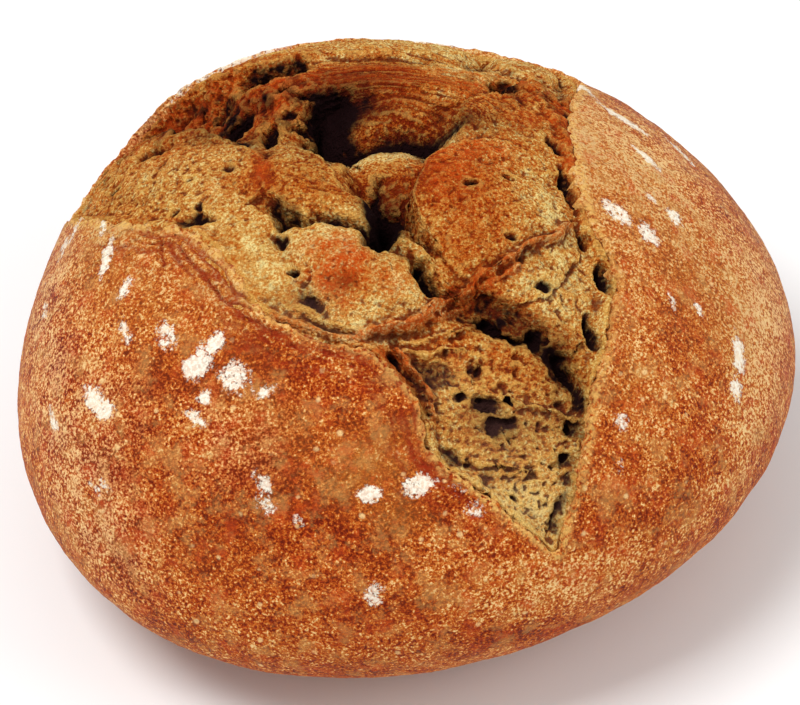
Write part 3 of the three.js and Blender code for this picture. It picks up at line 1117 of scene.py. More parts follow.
# Where it is open and webbed.
CRUMB_PORES = rows(Tint, (
    ("wedge", 33, -76, 20, 32, 8, 1),
    ("strip", 44, -38, 10, 8, 0, 0.3),
    ("brow_foot", -13, -47, 6, 5, 0, 0.5),
))

# Where it is calm, without crags or web.
CRUMB_SMOOTH = rows(Tint, (
    ("peeled_slope", -28, -36, 8, 20, 28, 0.85),
    ("peeled_foot", -8, -54, 16, 4, -8, 0.6),
    ("brow_top", -4, -32, 14, 6, 0, 0.35),
    ("brow_right", 10, -44, 10, 9, 0, 0.4),
    ("shoulder", -10, -15, 12, 6, -28, 0.3),
    ("corner_pale", 24, 46, 8, 12, -30, 0.5),
))

# Where it is torn into crags.
CRUMB_JAGGED = rows(Tint, (
    ("left_wall", -58, 43, 42, 18, -34, 1),
    ("left_end", -80, 22, 10, 18, 20, 0.6),
    ("back_left", -16, 30, 12, 16, 0, 0.5),
    ("corner", 38, 38, 12, 18, 0, 0.9),
    ("right_crack", 50, 8, 4, 18, 10, 0.4),
    ("under_ridge", 32, -49, 12, 5, -12, 0.6),
    ("red_knot", 1, -58, 6, 3, 0, 0.5),
    ("shelf", -54, -2, 28, 13, -22, 0.22),
    ("mound", 30, -14, 16, 22, 8, 0.15),
))

# Where it is torn into layers.
CRUMB_LAYERS = rows(Tint, (
    ("back_wall", 12, 38, 26, 20, 0, 1.2),
    ("back_right", 28, 20, 8, 15, 10, 0.8),
    ("shoulder_front", -10, -18, 12, 8, -10, 0.8),
))


@dataclass
class TornCrumb:
    """The torn dough inside the burst, as neighbouring sheets that share their edges."""

    low: Pair = (-111.0, -113.0)
    high: Pair = (64.0, 88.0)
    coarse_step: float = 1.05
    respacings: int = 3
    evenness: float = 0.35  # share of the even spacing that each respacing keeps
    splits: int = 3
    margin: float = 4.0  # how far the dough runs on under the crust
    snap_reach: float = 0.5
    snap_most: float = 2.0
    seams: tuple[float, ...] = (-28.0, 12.0)
    lumpy: Mottle = Mottle(0.6, 7.5, 2)
    rough: Mottle = Mottle(0.44, 2.6, 3, 0.6)
    grains: tuple[Pair, ...] = ((0.34, 1.7), (0.3, 3.1))  # height and size
    web: Mottle = Mottle(2.0, 3.4, 3, shift=5.0)
    web_mean: float = 0.72
    crags: Mottle = Mottle(3.8, 5.0, 3)
    crag_mean: float = 0.7
    squash: Triple = (0.7, 1.0, 1.0)  # draws pores and web out along X
    bend: float = 1.3
    bend_size: float = 2.2
    large_pores: Pores = Pores(6.4, 0.16, 0.62, 1.6)
    small_pores: Pores = Pores(2.9, 0.16, 0.5, 1.0, shift=9.0)
    stray_pores: float = 0.25  # share of the small pores' depth where nothing is torn
    edge_reach: float = 2.0
    edge_width: float = 3.0
    layer_height: float = 1.7
    layer_pitch: float = 2.4
    layer_reach: float = 16.0  # millimetres of layers for each reach of the well
    layer_stretch: float = 0.12
    layer_bend: Mottle = Mottle(1.2, 12.0, 2)
    base_toast: float = 0.3
    near_radius: int = 3  # grid steps that pits are judged over
    wide_radius: int = 14
    near_depth: float = 0.5
    wide_depth: float = 1.4
    deep_start: float = 15.0  # the well gets painted shade from this depth down
    deep_reach: float = 9.0
    noise: Noise = field(default_factory=lambda: Noise(5))

    def places(self) -> Array:
        """Places of the grid, gathered on steep sides and split fine.

        Returns:
            Places (p, q) of shape (rows, columns, 2), rows along q.
        """
        p = np.arange(self.low[0], self.high[0], self.coarse_step)
        q = np.arange(self.low[1], self.high[1], self.coarse_step)
        grid = np.stack(np.meshgrid(p, q), axis=-1)
        for turn in (False, True) * self.respacings:
            work = np.swapaxes(grid, 0, 1) if turn else grid
            points = BURST.surface(work, *BURST.forms(work))
            work = respaced(work, points, self.evenness)
            grid = np.swapaxes(work, 0, 1) if turn else work
        return refined(grid, self.splits)

    def snapped(self, grid: Array, inside: Array) -> Array:
        """Pull places just outside the margin onto it, so that the sheet ends evenly.

        Args:
            grid: Places of shape (rows, columns, 2).
            inside: Their distances inside the rim.

        Returns:
            Places of the same shape as ``grid``.
        """
        steps = self.snap_reach * np.eye(2)
        slope = np.stack([BURST.inside(grid + step) - BURST.inside(grid - step)
                          for step in steps], axis=-1)
        short = np.clip(-self.margin - inside, 0.0, self.snap_most)
        return grid + unit(slope) * short[..., None]

    def strata(self, grid: Array, points: Array, height: Array) -> Array:
        """Noise in thin bands round the well, broken along their length.

        Args:
            grid: Places of shape (rows, columns, 2).
            points: Surface points.
            height: Heights over the plain loaf.

        Returns:
            Values of about -1 to 1, of shape (rows, columns).
        """
        level = self.layer_reach * WELL.reach(grid) + 0.8 * height
        level = level + self.layer_bend.over(self.noise, points)
        along = points[..., :2] * self.layer_stretch
        bands = np.concatenate([along, level[..., None]], axis=-1)
        return self.noise.fractal(bands, self.layer_pitch, 3, gain=0.7)

    def toast(self, at: Array, points: Array) -> Array:
        """How toasted the dough is: patches and a mottle, stronger in the open crumb."""
        mottle = 0.16 + 0.3 * gathered(CRUMB_PORES, at)
        mottle = mottle * self.noise.fractal(points, 9.0, 4, gain=0.7)
        return self.base_toast + summed(CRUMB_TOAST, at) + mottle

    def red(self, at: Array, points: Array) -> Array:
        """How red the dough is: patches with a mottle, and threads."""
        off = np.min([ridge.off(at) for ridge in RED_RIDGES], axis=0)
        mottle = 0.8 + 0.9 * self.noise.fractal(points + 31.0, 5.0, 3)
        return summed(CRUMB_RED, at) * mottle + 0.8 * bell(off, 1.1)

    def painted_shade(self, at: Array, points: Array, height: Array, wide: Array) -> Array:
        """Painted shade of the dough: the sum of shade in dips, holes and the deep well, painted shadow
        patches, and dark spots among the crags that are partly burnt crumb and partly painted shadow.

        Args:
            at: Warped places of shape (rows, columns, 2).
            points: Finished surface points.
            height: Heights over the plain loaf, without the grain.
            wide: How far each point is sunk under a wide mean.

        Returns:
            Shares of shape (rows, columns).
        """
        # Dark spots among the crags: partly burnt crumb, partly painted shadow.
        spots = np.clip(2.4 * self.noise.fractal(points + 71.0, 4.5, 3), 0.0, 0.85)
        ragged = np.clip(0.85 + 0.9 * self.noise.fractal(points + 17.0, 1.9, 3), 0.3, 1.2)
        # Painted shade in dips under the wide mean of their neighbours, in the holes and in the deep well.
        painted_shade = 0.5 * np.clip(wide, 0.0, None) / self.wide_depth
        painted_shade = painted_shade + BURST.darkness(at, height) * ragged
        painted_shade = painted_shade + 0.95 * ease((-height - self.deep_start) / self.deep_reach)
        return painted_shade + gathered(CRUMB_SHADE, at) + gathered(CRUMB_JAGGED, at) * spots

    def marks(self, grid: Array, points: Array, height: Array) -> dict[str, Array]:
        """Values that the crumb's material reads at each vertex.

        Args:
            grid: Places of shape (rows, columns, 2).
            points: Finished surface points.
            height: Heights over the plain loaf, without the grain.

        Returns:
            One array for each mark, of shape (rows, columns).
        """
        normals = grid_normals(points)
        near = sunk(points, normals, self.near_radius)
        wide = sunk(points, normals, self.wide_radius)
        at = BURST.warped(grid)
        layers = gathered(CRUMB_LAYERS, at) * self.strata(grid, points, height)
        inside, calm = BURST.inside(grid), gathered(RIM_CALM, grid)
        toast = self.toast(at, points) + 0.9 * layers + 0.2 * calm * bell(inside, 7.0)
        red = self.red(at, points) + 1.1 * np.clip(layers, 0.0, None) + 0.12 * calm * bell(inside, 4.0)
        # Painted shade also darkens the creases of the torn layers.
        painted_shade = self.painted_shade(at, points, height, wide) + 0.7 * np.clip(layers - 0.3, 0.0, 0.6)
        return {
            "toast": held(toast),
            "grey": gathered(CRUMB_GREY, at),
            "calm": gathered(CRUMB_SMOOTH, at),
            "red": held(red),
            # pit: how far a point is sunk under its neighbours, read for painted shade in pits and a
            # painted highlight on crests.
            "pit": held(0.5 + near / self.near_depth),
            "painted_shade": held(painted_shade),
        }

    def grained(self, grid: Array, points: Array, height: Array) -> Array:
        """The surface with its crumb: grains, pores and torn layers.

        Args:
            grid: Places of shape (rows, columns, 2).
            points: Surface points without the crumb.
            height: Heights over the plain loaf.

        Returns:
            Finished points of the same shape as ``points``.
        """
        noise = self.noise
        at = BURST.warped(grid)
        porous, calm = gathered(CRUMB_PORES, at), gathered(CRUMB_SMOOTH, at)
        jagged, layered = gathered(CRUMB_JAGGED, at), gathered(CRUMB_LAYERS, at)
        calm = np.maximum(calm, 0.7 * layered * (1.0 - jagged))
        squashed = points * np.array(self.squash)
        bends = [noise.smooth(points + 60.0 * k, self.bend_size) for k in (1, 2, 3)]
        bent = squashed + self.bend * np.stack(bends, axis=-1)
        lumps = self.lumpy.over(noise, points) + self.rough.over(noise, points)
        grains = sum(tall * (0.5 - noise.cells(points, size)) for tall, size in self.grains)
        web = self.web.crests(noise, squashed, self.web_mean) * porous
        crags = self.crags.crests(noise, points, self.crag_mean) * jagged
        strewn = self.stray_pores + (1.0 - self.stray_pores) * np.maximum(porous, jagged)
        pores = self.large_pores.depth * self.large_pores.open(noise, bent) * porous
        pores = pores + self.small_pores.depth * strewn * self.small_pores.open(noise, bent)
        rise = lumps * (1.0 - 0.6 * calm) + grains * (1.0 - 0.75 * calm)
        rise += (web + crags) * (1.0 - calm)
        rise += self.layer_height * layered * self.strata(grid, points, height)
        rise -= pores * (1.0 - 0.8 * calm)
        rise *= ease((BURST.inside(grid) + self.edge_reach) / self.edge_width)
        return points + grid_normals(points) * rise[..., None]

    def sheets(self) -> list[Sheet]:
        """The crumb as sheets from left to right.

        Returns:
            One sheet for each band between the seams.
        """
        grid = self.places()
        inside = BURST.inside(grid)
        near = inside > -self.margin
        kept = near[:-1, :-1] | near[:-1, 1:] | near[1:, :-1] | near[1:, 1:]
        grid = self.snapped(grid, inside)
        height, slide = BURST.forms(grid)
        points = self.grained(grid, BURST.surface(grid, height, slide), height)
        marks = self.marks(grid, points, height)
        middle_row = grid[len(grid) // 2, :, 0]
        cuts = [0, *(int(np.searchsorted(middle_row, seam)) for seam in self.seams), grid.shape[1] - 1]
        return [Sheet(points=points[:, a:b + 1], kept=kept[:, a:b],
                      marks={key: mark[:, a:b + 1] for key, mark in marks.items()})
                for a, b in zip(cuts[:-1], cuts[1:])]


# ---- The crust ----


@dataclass(frozen=True)
class Dusting(Patch):
    """A patch of flour left on the crust."""

    amount: float = 1.0

    def cover(self, place: Array) -> Array:
        """Thickness of the patch: amount inside, falling off over its outer part."""
        return self.amount * (1.0 - ease((self.reach(place) - 0.35) / 1.0))


# Flour left in patches: middle, half lengths, turn and thickness.
FLOUR = rows(Dusting, (
    ("left_streak", -68, -19, 2.2, 6.2, -22, 1.3),
    ("left_dab", -70, -8, 1.6, 3, -10, 1),
    ("left_flake", -62, -31, 2, 3.8, -50, 1),
    ("left_wedge", -64, -42, 2, 4.4, 10, 1),
    ("middle_pale", -51, -48, 3, 4.4, 0, 0.9),
    ("middle_big", -43.5, -57, 5.4, 3.6, 30, 1.5),
    ("middle_big_arm", -38, -53.5, 4, 2, 40, 1.3),
    ("middle_grey", -34.5, -62.5, 4.8, 4.6, 0, 0.95),
    ("middle_fleck", -44, -65.5, 2.2, 1.8, 0, 1.1),
    ("middle_faint", -27, -67, 3.4, 2.2, 0, 0.6),
    ("middle_cream", -48, -70, 3.8, 2, -40, 1.1),
    ("left_big", -80, -56, 3.8, 6, 30, 1.25),
    ("left_big_arm", -76.5, -60, 3.4, 3, 20, 1.1),
    ("left_edge_high", -92, 3, 4, 5, -20, 0.8),
    ("left_edge", -100, -16, 2.6, 4.6, -6, 0.7),
    ("left_edge_low", -102, -52, 2, 6, 8, 0.8),
    ("left_rim", -85, 4, 2.4, 6, -40, 0.9),
    ("left_low_a", -90, -78, 1.6, 3.4, 20, 0.8),
    ("left_low_b", -85, -79, 1.6, 3.4, 20, 0.9),
    ("front_left_high", -33, -89, 2, 3.6, 20, 1.1),
    ("front_left", -34, -94, 3, 3.8, -10, 0.95),
    ("front_left_low", -26, -100, 2.6, 1.8, -30, 0.8),
    ("front_bright", -5, -94, 3.6, 2.4, -6, 1.5),
    ("front_bright_right", 8, -91.5, 4.6, 2.9, 12, 1.4),
    ("front_faint_right", 17, -92, 3.4, 1.8, -10, 0.7),
    ("front_low", -7, -123, 4, 4.4, 20, 0.72),
    ("front_speck", 22, -97, 3, 3, 0, 0.6),
    ("right_near_tear", 59.5, -9, 4.4, 3, -20, 1.2),
    ("right_dab", 67.5, -11, 3, 3.4, 10, 1.2),
    ("right_dab_high", 75, 0, 2.3, 3.2, 10, 1.1),
    ("right_dab_small", 68.5, 3, 1.3, 2.4, 20, 0.9),
    ("right_streak", 63, 39.5, 7.5, 2.4, -24, 1.25),
    ("right_high", 68.5, 21.5, 5, 1.9, -42, 1.15),
    ("right_edge_high", 81, 42, 7, 1.8, -43, 1),
    ("corner_streak", 52, 52, 2.4, 8, 30, 1),
    ("right_fleck_a", 74, -29, 1, 3.2, 14, 1.1),
    ("right_fleck_b", 82.5, -27, 1.4, 3, 20, 1),
    ("right_large", 98, -33, 3.4, 6.6, 14, 1.15),
    ("right_large_low", 99, -44, 3, 5, 10, 0.85),
    ("right_low_a", 61, -68, 2.4, 3, 0, 0.7),
    ("right_low_b", 62, -81, 2, 3, 0, 0.75),
    ("back_horizon", -38, 62, 14, 5, 10, 1),
    ("back_middle", 10, 82, 12, 5, -6, 0.8),
    ("back_left", -58, 66, 5, 9, 30, 0.9),
    ("back_right", 38, 92, 8, 5, -20, 0.9),
    ("back_low", -20, 108, 9, 6, 10, 0.8),
    ("back_low_right", 62, 84, 5, 9, -30, 0.8),
))

# Where the crust is darker: baked darker in patches, and darkened towards the lower front and the
# underside as painted shade.
CRUST_DARK = rows(Tint, (
    ("front", -12, -104, 34, 20, 10, 0.35),
    ("front_red", -30, -84, 16, 10, 20, 0.3),
    ("middle_red", -56, -58, 14, 8, -10, 0.3),
    ("left_red", -74, -22, 10, 22, 10, 0.2),
    ("brow_edge", -8, -72, 24, 8, -25, 0.25),
    ("right_low", 66, -66, 8, 18, 8, 0.12),
    ("right_side", 82, -38, 12, 14, 0, 0.2),
    ("right_red", 92, -40, 10, 18, 0, 0.25),
    ("underside_front", 30, -142, 40, 10, 0, 0.4),
    ("front_low", 4, -128, 24, 10, 0, 0.25),
    ("middle_near", -28, -58, 16, 10, 10, 0.32),
    ("centre", 10, -80, 14, 9, -20, 0.16),
))

# Where it is paler: baked paler in patches, and lightened on the right side (right_top, right_far) as
# painted light.
CRUST_PALE = rows(Tint, (
    ("left_top", -76, -12, 20, 14, -10, 0.36),
    ("front_right", 42, -122, 34, 12, 12, 0.45),
    ("tip", 46, -112, 12, 8, 0, 0.4),
    ("right_top", 70, 12, 18, 34, 0, 0.6),
    ("corner", 56, 30, 8, 22, 0, 0.15),
    ("right_middle", 64, -42, 9, 20, 0, 0.35),
    ("left_upper", -52, -32, 20, 12, -30, 0.34),
    ("left_side", -100, -20, 16, 46, 0, 0.3),
    ("right_far", 104, -16, 15, 36, 0, 0.85),
    ("strip", -42, -78, 18, 10, 0, 0.15),
    ("back", 0, 80, 60, 18, 0, 0.25),
))

# Where a painted sheen lies over it: pale rims, mostly near the outline, as light reflected at a grazing
# angle.
CRUST_PAINTED_SHEEN = rows(Tint, (
    ("left_edge", -102, -20, 17, 60, 0, 0.7),
    ("left_high", -90, -6, 12, 20, 0, 0.15),
    ("left_low", -96, -84, 18, 26, 20, 0.5),
    ("right_top", 80, 30, 20, 40, 0, 0.35),
    ("right_edge", 114, -6, 15, 44, 0, 0.75),
    ("back_left", -40, 66, 40, 8, 0, 0.7),
    ("left_middle", -78, -60, 14, 12, 0, 0.3),
    ("front_middle", -40, -76, 14, 10, 0, 0.25),
))

# Where it is olive rather than red.
CRUST_OLIVE = rows(Tint, (
    ("front_stain", -2, -86, 14, 8, 20, 0.8),
    ("front_stain_low", 2, -100, 9, 5, 0, 0.5),
    ("brow_stain", -26, -72, 14, 8, -30, 0.45),
    ("right_stain", 84, -16, 20, 24, 0, 0.5),
    ("right_high", 66, 14, 16, 26, 0, 0.5),
    ("right_far", 100, -24, 14, 24, 0, 0.35),
    ("right_mid_stain", 64, -56, 8, 12, 0, 0.4),
    ("left_top", -70, -16, 24, 10, -14, 0.35),
    ("left_high", -54, -34, 20, 12, -36, 0.45),
))

# Where a pale torn band runs along its edge.
CRUST_TEAR = rows(Tint, (
    ("wedge_left", 27, -94, 26, 9, -38, 1),
    ("wedge_tip", 48, -106, 5, 7, 0, 0.8),
    ("wedge_right", 55, -74, 6, 34, 0, 0.75),
    ("crack_edge", 2, -66, 9, 7, -30, 0.7),
    ("left_edge", -18, -53, 22, 6, -28, 0.5),
    ("right_high", 54, 12, 8, 42, 0, 1),
    ("left_shelf", -68, -2, 30, 14, -32, 1.6),
    ("left_slope", -40, -34, 12, 16, 40, 0.8),
))

# Grooves of the stretched skin: height, width and path.
CRUST_GROOVES = (
    Thread("groove_high", -1.0, 0.45, ((-49, -21.5), (-48.8, -25), (-48.2, -30))),
    Thread("groove_side", -0.8, 0.4, ((-46.5, -23), (-45.6, -27), (-43.8, -31), (-41, -36))),
    Thread("groove_middle", -1.3, 0.5,
           ((-44, -24), (-41.5, -30), (-38.5, -36), (-34.5, -42), (-29, -46))),
    Thread("groove_inner", -1.2, 0.5,
           ((-36, -31.5), (-33, -36.5), (-30.5, -41.5), (-26, -45.5), (-22.5, -47.5))),
    Thread("groove_low", -1.0, 0.5, ((-31, -47), (-25, -51.5), (-18.5, -55))),
    Thread("groove_front", -0.5, 0.6, ((-27, -50), (-20, -56), (-10, -60))),
)


@dataclass
class Crust:
    """The baked skin: an upper shell from the torn lip to the widest level, and a base."""

    columns: int = 1500
    lip_rows: tuple[Pair, ...] = (  # reach under the lip and height there
        (0.75, -4.0), (0.65, -2.5), (0.6, -1.1), (0.42, -0.4), (0.18, -0.06))
    upper_rows: int = 92
    row_power: float = 1.35  # gathers the rows near the lip
    base_rows: int = 62
    base_reach: float = 1.985  # how far under the base runs, in equator arcs
    middle: Pair = (20.0, -30.0)  # the columns run out from here
    even_share: float = 0.45  # share of an even spread in the columns' directions
    rag: float = 1.35
    rag_slow: float = 6.0
    rag_quick: Mottle = Mottle(0.9, 2.4, 2, 0.7, 7.0)
    calm_rag: float = 0.6  # how much more the rim wanders where it is calm
    fray: Mottle = Mottle(0.5, 2.6, 2, shift=3.0)
    fray_reach: float = 1.6
    calm_lip: float = 0.85  # share of the lip's curl left out at a calm rim
    still_lip: Pair = (1.0, 0.2)  # grain left out, from under the lip up
    swells: Mottle = Mottle(0.55, 14.0, 2)
    grain: Mottle = Mottle(0.16, 2.4, 2)
    wrinkle: float = 1.0
    wrinkle_mean: float = 0.72
    wrinkle_pitch: float = 2.4
    wrinkle_bend: Mottle = Mottle(1.6, 12.0, 2)
    wrinkle_stretch: float = 0.14
    wrinkle_reach: float = 10.0
    fold_depth: float = 0.7  # a wrinkle this deep gets full painted shade
    far: float = -50.0  # the base's distance inside the rim: well outside it
    noise: Noise = field(default_factory=lambda: Noise(23))

    def rim(self) -> Array:
        """The torn edge, wandering by noise across the smooth outline.

        Returns:
            Places (p, q) of shape (columns, 2).
        """
        outline = closed_spline(BURST.rim, self.columns)
        along = unit(np.roll(outline, -1, axis=0) - np.roll(outline, 1, axis=0))
        outward = np.stack([along[:, 1], -along[:, 0]], axis=-1)
        flat = flattened(outline)
        wander = 0.9 * self.noise.smooth(flat, self.rag_slow) + self.rag_quick.over(self.noise, flat)
        wander = self.rag * wander * (1.0 + self.calm_rag * gathered(RIM_CALM, outline))
        return outline + outward * wander[:, None]

    def equator_ring(self, rim: Array) -> Array:
        """Places on the widest level that the rim's columns run out to.

        Args:
            rim: The torn edge, of shape (columns, 2).

        Returns:
            Places of the same shape, part evenly spread and part as the rim is seen.
        """
        seen = np.unwrap(np.arctan2(rim[:, 1] - self.middle[1], rim[:, 0] - self.middle[0]))
        even = seen[0] + np.linspace(0.0, 2.0 * math.pi, self.columns, endpoint=False)
        turn = (1.0 - self.even_share) * seen + self.even_share * even
        return BODY.equator_arc * np.stack([np.cos(turn), np.sin(turn)], axis=-1)

    def folds(self, place: Array, points: Array) -> Array:
        """Wrinkles of the stretched skin left of the tear, and its grooves.

        A wrinkle is as deep as noise, drawn out along the tear, passes its mean.

        Args:
            place: Places of shape (rows, columns, 2).
            points: The skin's points there.

        Returns:
            Heights in millimetres, of shape (rows, columns), none over 0.
        """
        outside = np.clip(-BURST.inside(place), 0.0, None)
        left = (ease((4.0 - place[..., 0] - 0.3 * place[..., 1]) / 24.0)
                * ease((-place[..., 1] - 4.0) / 12.0))
        bend = outside + self.wrinkle_bend.over(self.noise, points)
        drawn = np.concatenate([points[..., :2] * self.wrinkle_stretch, bend[..., None]], axis=-1)
        crest = self.noise.ridged(drawn, self.wrinkle_pitch, 2) - self.wrinkle_mean
        crease = np.clip(crest, 0.0, None) / (1.0 - self.wrinkle_mean)
        rise = -self.wrinkle * crease * left * bell(outside, self.wrinkle_reach)
        at = BURST.warped(place)
        return rise + sum(groove.rise(at) for groove in CRUST_GROOVES)

    def finished(self, place: Array, height: Array, still: Array) -> Array:
        """Points of the crust with its grain, dents and wrinkles.

        Args:
            place: Places (p, q) of shape (rows, columns, 2).
            height: Heights over the plain loaf.
            still: Share of the grain left out, from 0 to 1.

        Returns:
            Points of shape (rows, columns, 3).
        """
        points = BODY.lifted(place, height)
        rise = self.folds(place, points) + self.swells.over(self.noise, points)
        rise += self.grain.over(self.noise, points)
        rise *= 1.0 - still
        points = points + BODY.normal(BODY.direction(place)) * rise[..., None]
        points[..., 2] = np.maximum(points[..., 2], 0.0)
        return points

    def marks(self, place: Array, inside: Array) -> dict[str, Array]:
        """Values that the crust's material reads at each vertex.

        Args:
            place: Places of shape (rows, columns, 2).
            inside: Distances inside the rim, of the same rows and columns.

        Returns:
            One array for each mark, of shape (rows, columns).
        """
        noise = self.noise
        way = BODY.direction(place) * BODY.arc_radius
        outside = np.clip(-inside, 0.0, None)
        calm = gathered(RIM_CALM, place)
        # Baked tone, with the painted shade and painted light of the darker and paler patches.
        uneven = summed(CRUST_DARK, place) - summed(CRUST_PALE, place)
        bake_and_painted_light = 0.5 + 0.5 * uneven + 0.3 * noise.fractal(way, 26.0, 3) - 0.3 * calm * bell(outside, 6.0)
        olive = summed(CRUST_OLIVE, place) + 0.3 * noise.fractal(way + 50.0, 30.0, 2)
        olive += 0.6 * calm * bell(outside, 8.0)
        flour = np.max([dusting.cover(place) for dusting in FLOUR], axis=0)
        flour = np.where(flour > 0.02, flour + 0.3 * noise.fractal(way, 4.0, 3), 0.0)
        torn = 0.12 + gathered(CRUST_TEAR, place)
        plain = BODY.lifted(place, np.zeros(place.shape[:-1]))
        return {
            "bake_and_painted_light": held(bake_and_painted_light),
            "olive": held(olive),
            # Painted sheen, mostly near the outline.
            "painted_sheen": gathered(CRUST_PAINTED_SHEEN, place),
            "flour": np.clip(flour, 0.0, 1.6),
            "tear": held(torn * bell(outside, 0.7 + 0.8 * torn)),
            # Painted shade in the wrinkles and grooves, by their depth.
            "fold": held(-self.folds(place, plain) / self.fold_depth),
        }

    def upper(self) -> Sheet:
        """The shell from under the torn lip out to the widest level.

        Returns:
            A sheet whose rows run outwards and whose columns go round.
        """
        rim = self.rim()
        ring = self.equator_ring(rim)
        inward = unit(np.array(self.middle) - rim)
        lip = np.stack([rim + inward * reach for reach, _ in self.lip_rows])
        share = np.linspace(0.0, 1.0, self.upper_rows)[:, None, None] ** self.row_power
        place = np.concatenate([lip, rim * (1.0 - share) + ring * share])
        inside = BURST.inside(place)
        outer = np.minimum(inside, 0.0)
        drop, still = np.zeros(place.shape[:2]), np.zeros(place.shape[:2])
        drop[:len(lip)] = np.array([height for _, height in self.lip_rows])[:, None]
        still[:len(lip)] = np.linspace(*self.still_lip, len(lip))[:, None]
        frayed = self.fray.over(self.noise, flattened(rim)) * bell(outer, self.fray_reach)
        curl = BURST.lip_height(inside) * (1.0 - self.calm_lip * gathered(RIM_CALM, place))
        points = self.finished(place, curl + frayed + drop, still)
        return Sheet(points=points, marks=self.marks(place, outer), wrap=True, flip=True)

    def halves(self) -> tuple[Sheet, Sheet]:
        """The upper shell as two sheets that share their end columns, nearer one first."""
        whole = self.upper()
        cut = self.columns // 2
        parts = (list(range(cut + 1)), [*range(cut, self.columns), 0])
        first, second = (Sheet(points=whole.points[:, part], flip=True,
                               marks={key: mark[:, part] for key, mark in whole.marks.items()})
                         for part in parts)
        return first, second

    def base(self) -> Sheet:
        """The shell from the widest level down and under to the middle of the foot.

        Returns:
            A sheet whose rows run down and in, closed at its pole.
        """
        ring = self.equator_ring(self.rim())
        place = ring * np.linspace(1.0, self.base_reach, self.base_rows)[:, None, None]
        flat = np.zeros(place.shape[:2])
        marks = self.marks(place, flat + self.far)
        return Sheet(points=self.finished(place, flat, flat), marks=marks, wrap=True, flip=True, pole=True)


# ---- Shader graphs ----


Colour = tuple[float, float, float, float]
Socket = bpy.types.NodeSocket
Node = bpy.types.Node


def linear(red: int, green: int, blue: int) -> Colour:
    """Linear colour of a display colour given from 0 to 255."""
    def one(value: int) -> float:
        """Linear value of one channel."""
        share = value / 255.0
        return share / 12.92 if share <= 0.04045 else ((share + 0.055) / 1.055) ** 2.4
    return one(red), one(green), one(blue), 1.0


class Graph:
    """A node tree that is built by short calls.

    An output socket may stand in the place of any value.
    """

    def __init__(self, tree: bpy.types.NodeTree) -> None:
        """Keep the tree that the calls add to."""
        self.tree = tree

    def fill(self, node: Node, inputs: dict) -> Node:
        """Set a node's inputs, or link them.

        Args:
            node: The node.
            inputs: Input name or number to a value or to an output socket.

        Returns:
            The same node.
        """
        for key, value in inputs.items():
            if isinstance(value, Socket):
                self.tree.links.new(value, node.inputs[key])
            else:
                node.inputs[key].default_value = value
        return node

    def node(self, kind: str, inputs: dict | None = None, **settings: object) -> Node:
        """Add a node, set it, and fill or link its inputs.

        Args:
            kind: Blender's name of the node type.
            inputs: Input name or number to a value or to an output socket.
            settings: Properties of the node.

        Returns:
            The new node.
        """
        made = self.tree.nodes.new(kind)
        for key, value in settings.items():
            setattr(made, key, value)
        return self.fill(made, inputs or {})

    def math(self, operation: str, first: object, second: object, clamp: bool = False) -> Socket:
        """Add a Math node and return its output."""
        values = {0: first, 1: second}
        return self.node("ShaderNodeMath", values, operation=operation, use_clamp=clamp).outputs[0]

    def plus(self, first: object, second: object, clamp: bool = False) -> Socket:
        """Sum of two values, held between 0 and 1 if ``clamp`` is set."""
        return self.math("ADD", first, second, clamp)

    def less(self, first: object, second: object) -> Socket:
        """First value less the second."""
        return self.math("SUBTRACT", first, second)

    def times(self, first: object, second: object, clamp: bool = False) -> Socket:
        """Product of two values, held between 0 and 1 if ``clamp`` is set."""
        return self.math("MULTIPLY", first, second, clamp)

    def mark(self, name: str) -> Socket:
        """Value of one of the mesh's marks."""
        return self.node("ShaderNodeAttribute", attribute_name=name).outputs["Fac"]

    def blend(self, share: object, first: object, second: object) -> Socket:
        """Mix two colours by a share and return the colour."""
        made = self.node("ShaderNodeMix", data_type="RGBA", blend_type="MIX")
        return self.fill(made, {0: share, 6: first, 7: second}).outputs[2]

    def ease(self, value: object, low: object, high: object) -> Socket:
        """Ease a value from 0 at ``low`` to 1 at ``high``."""
        return self.node("ShaderNodeMapRange", {0: value, 1: low, 2: high},
                         interpolation_type="SMOOTHSTEP").outputs[0]

    def ramp(self, value: object, stops: dict[float, Colour]) -> Socket:
        """Colour ramp over a value, from places along it to colours."""
        made = self.node("ShaderNodeValToRGB", {0: value})
        bar = made.color_ramp.elements
        while len(bar) < len(stops):
            bar.new(0.5)
        for stop, (place, colour) in zip(bar, stops.items()):
            stop.position, stop.color = place, colour
        return made.outputs[0]

    def texture(self, place: object, size: float, detail: float = 3.0,
                rough: float = 0.55) -> Node:
        """Noise texture of the given feature size in millimetres."""
        return self.node("ShaderNodeTexNoise", {
            "Vector": place, "Scale": 1.0 / (size * MM), "Detail": detail, "Roughness": rough})

    def noise(self, place: object, size: float, detail: float = 3.0, rough: float = 0.55) -> Socket:
        """Noise of the given feature size in millimetres, from 0 to 1."""
        return self.texture(place, size, detail, rough).outputs["Fac"]

    def about(self, place: object, size: float, detail: float, rough: float) -> Socket:
        """The same noise about 0."""
        return self.less(self.noise(place, size, detail, rough), 0.5)

    def cells(self, place: object, size: float, **settings: object) -> Node:
        """Cell texture with cells of the given size in millimetres."""
        return self.node("ShaderNodeTexVoronoi", {"Vector": place, "Scale": 1.0 / (size * MM)},
                         **settings)

    def moved(self, place: object, step: object) -> Socket:
        """Sum of two vectors."""
        return self.node("ShaderNodeVectorMath", {0: place, 1: step}).outputs[0]

    def channels(self, colour: object) -> bpy.types.bpy_prop_collection:
        """Red, green and blue outputs of a colour."""
        return self.node("ShaderNodeSeparateColor", {0: colour}).outputs

    def bump(self, height: object, depth: float) -> Socket:
        """Normal of a bump whose height of 1 stands for ``depth`` millimetres."""
        return self.node("ShaderNodeBump", {
            "Strength": 1.0, "Distance": depth * MM, "Height": height}).outputs[0]


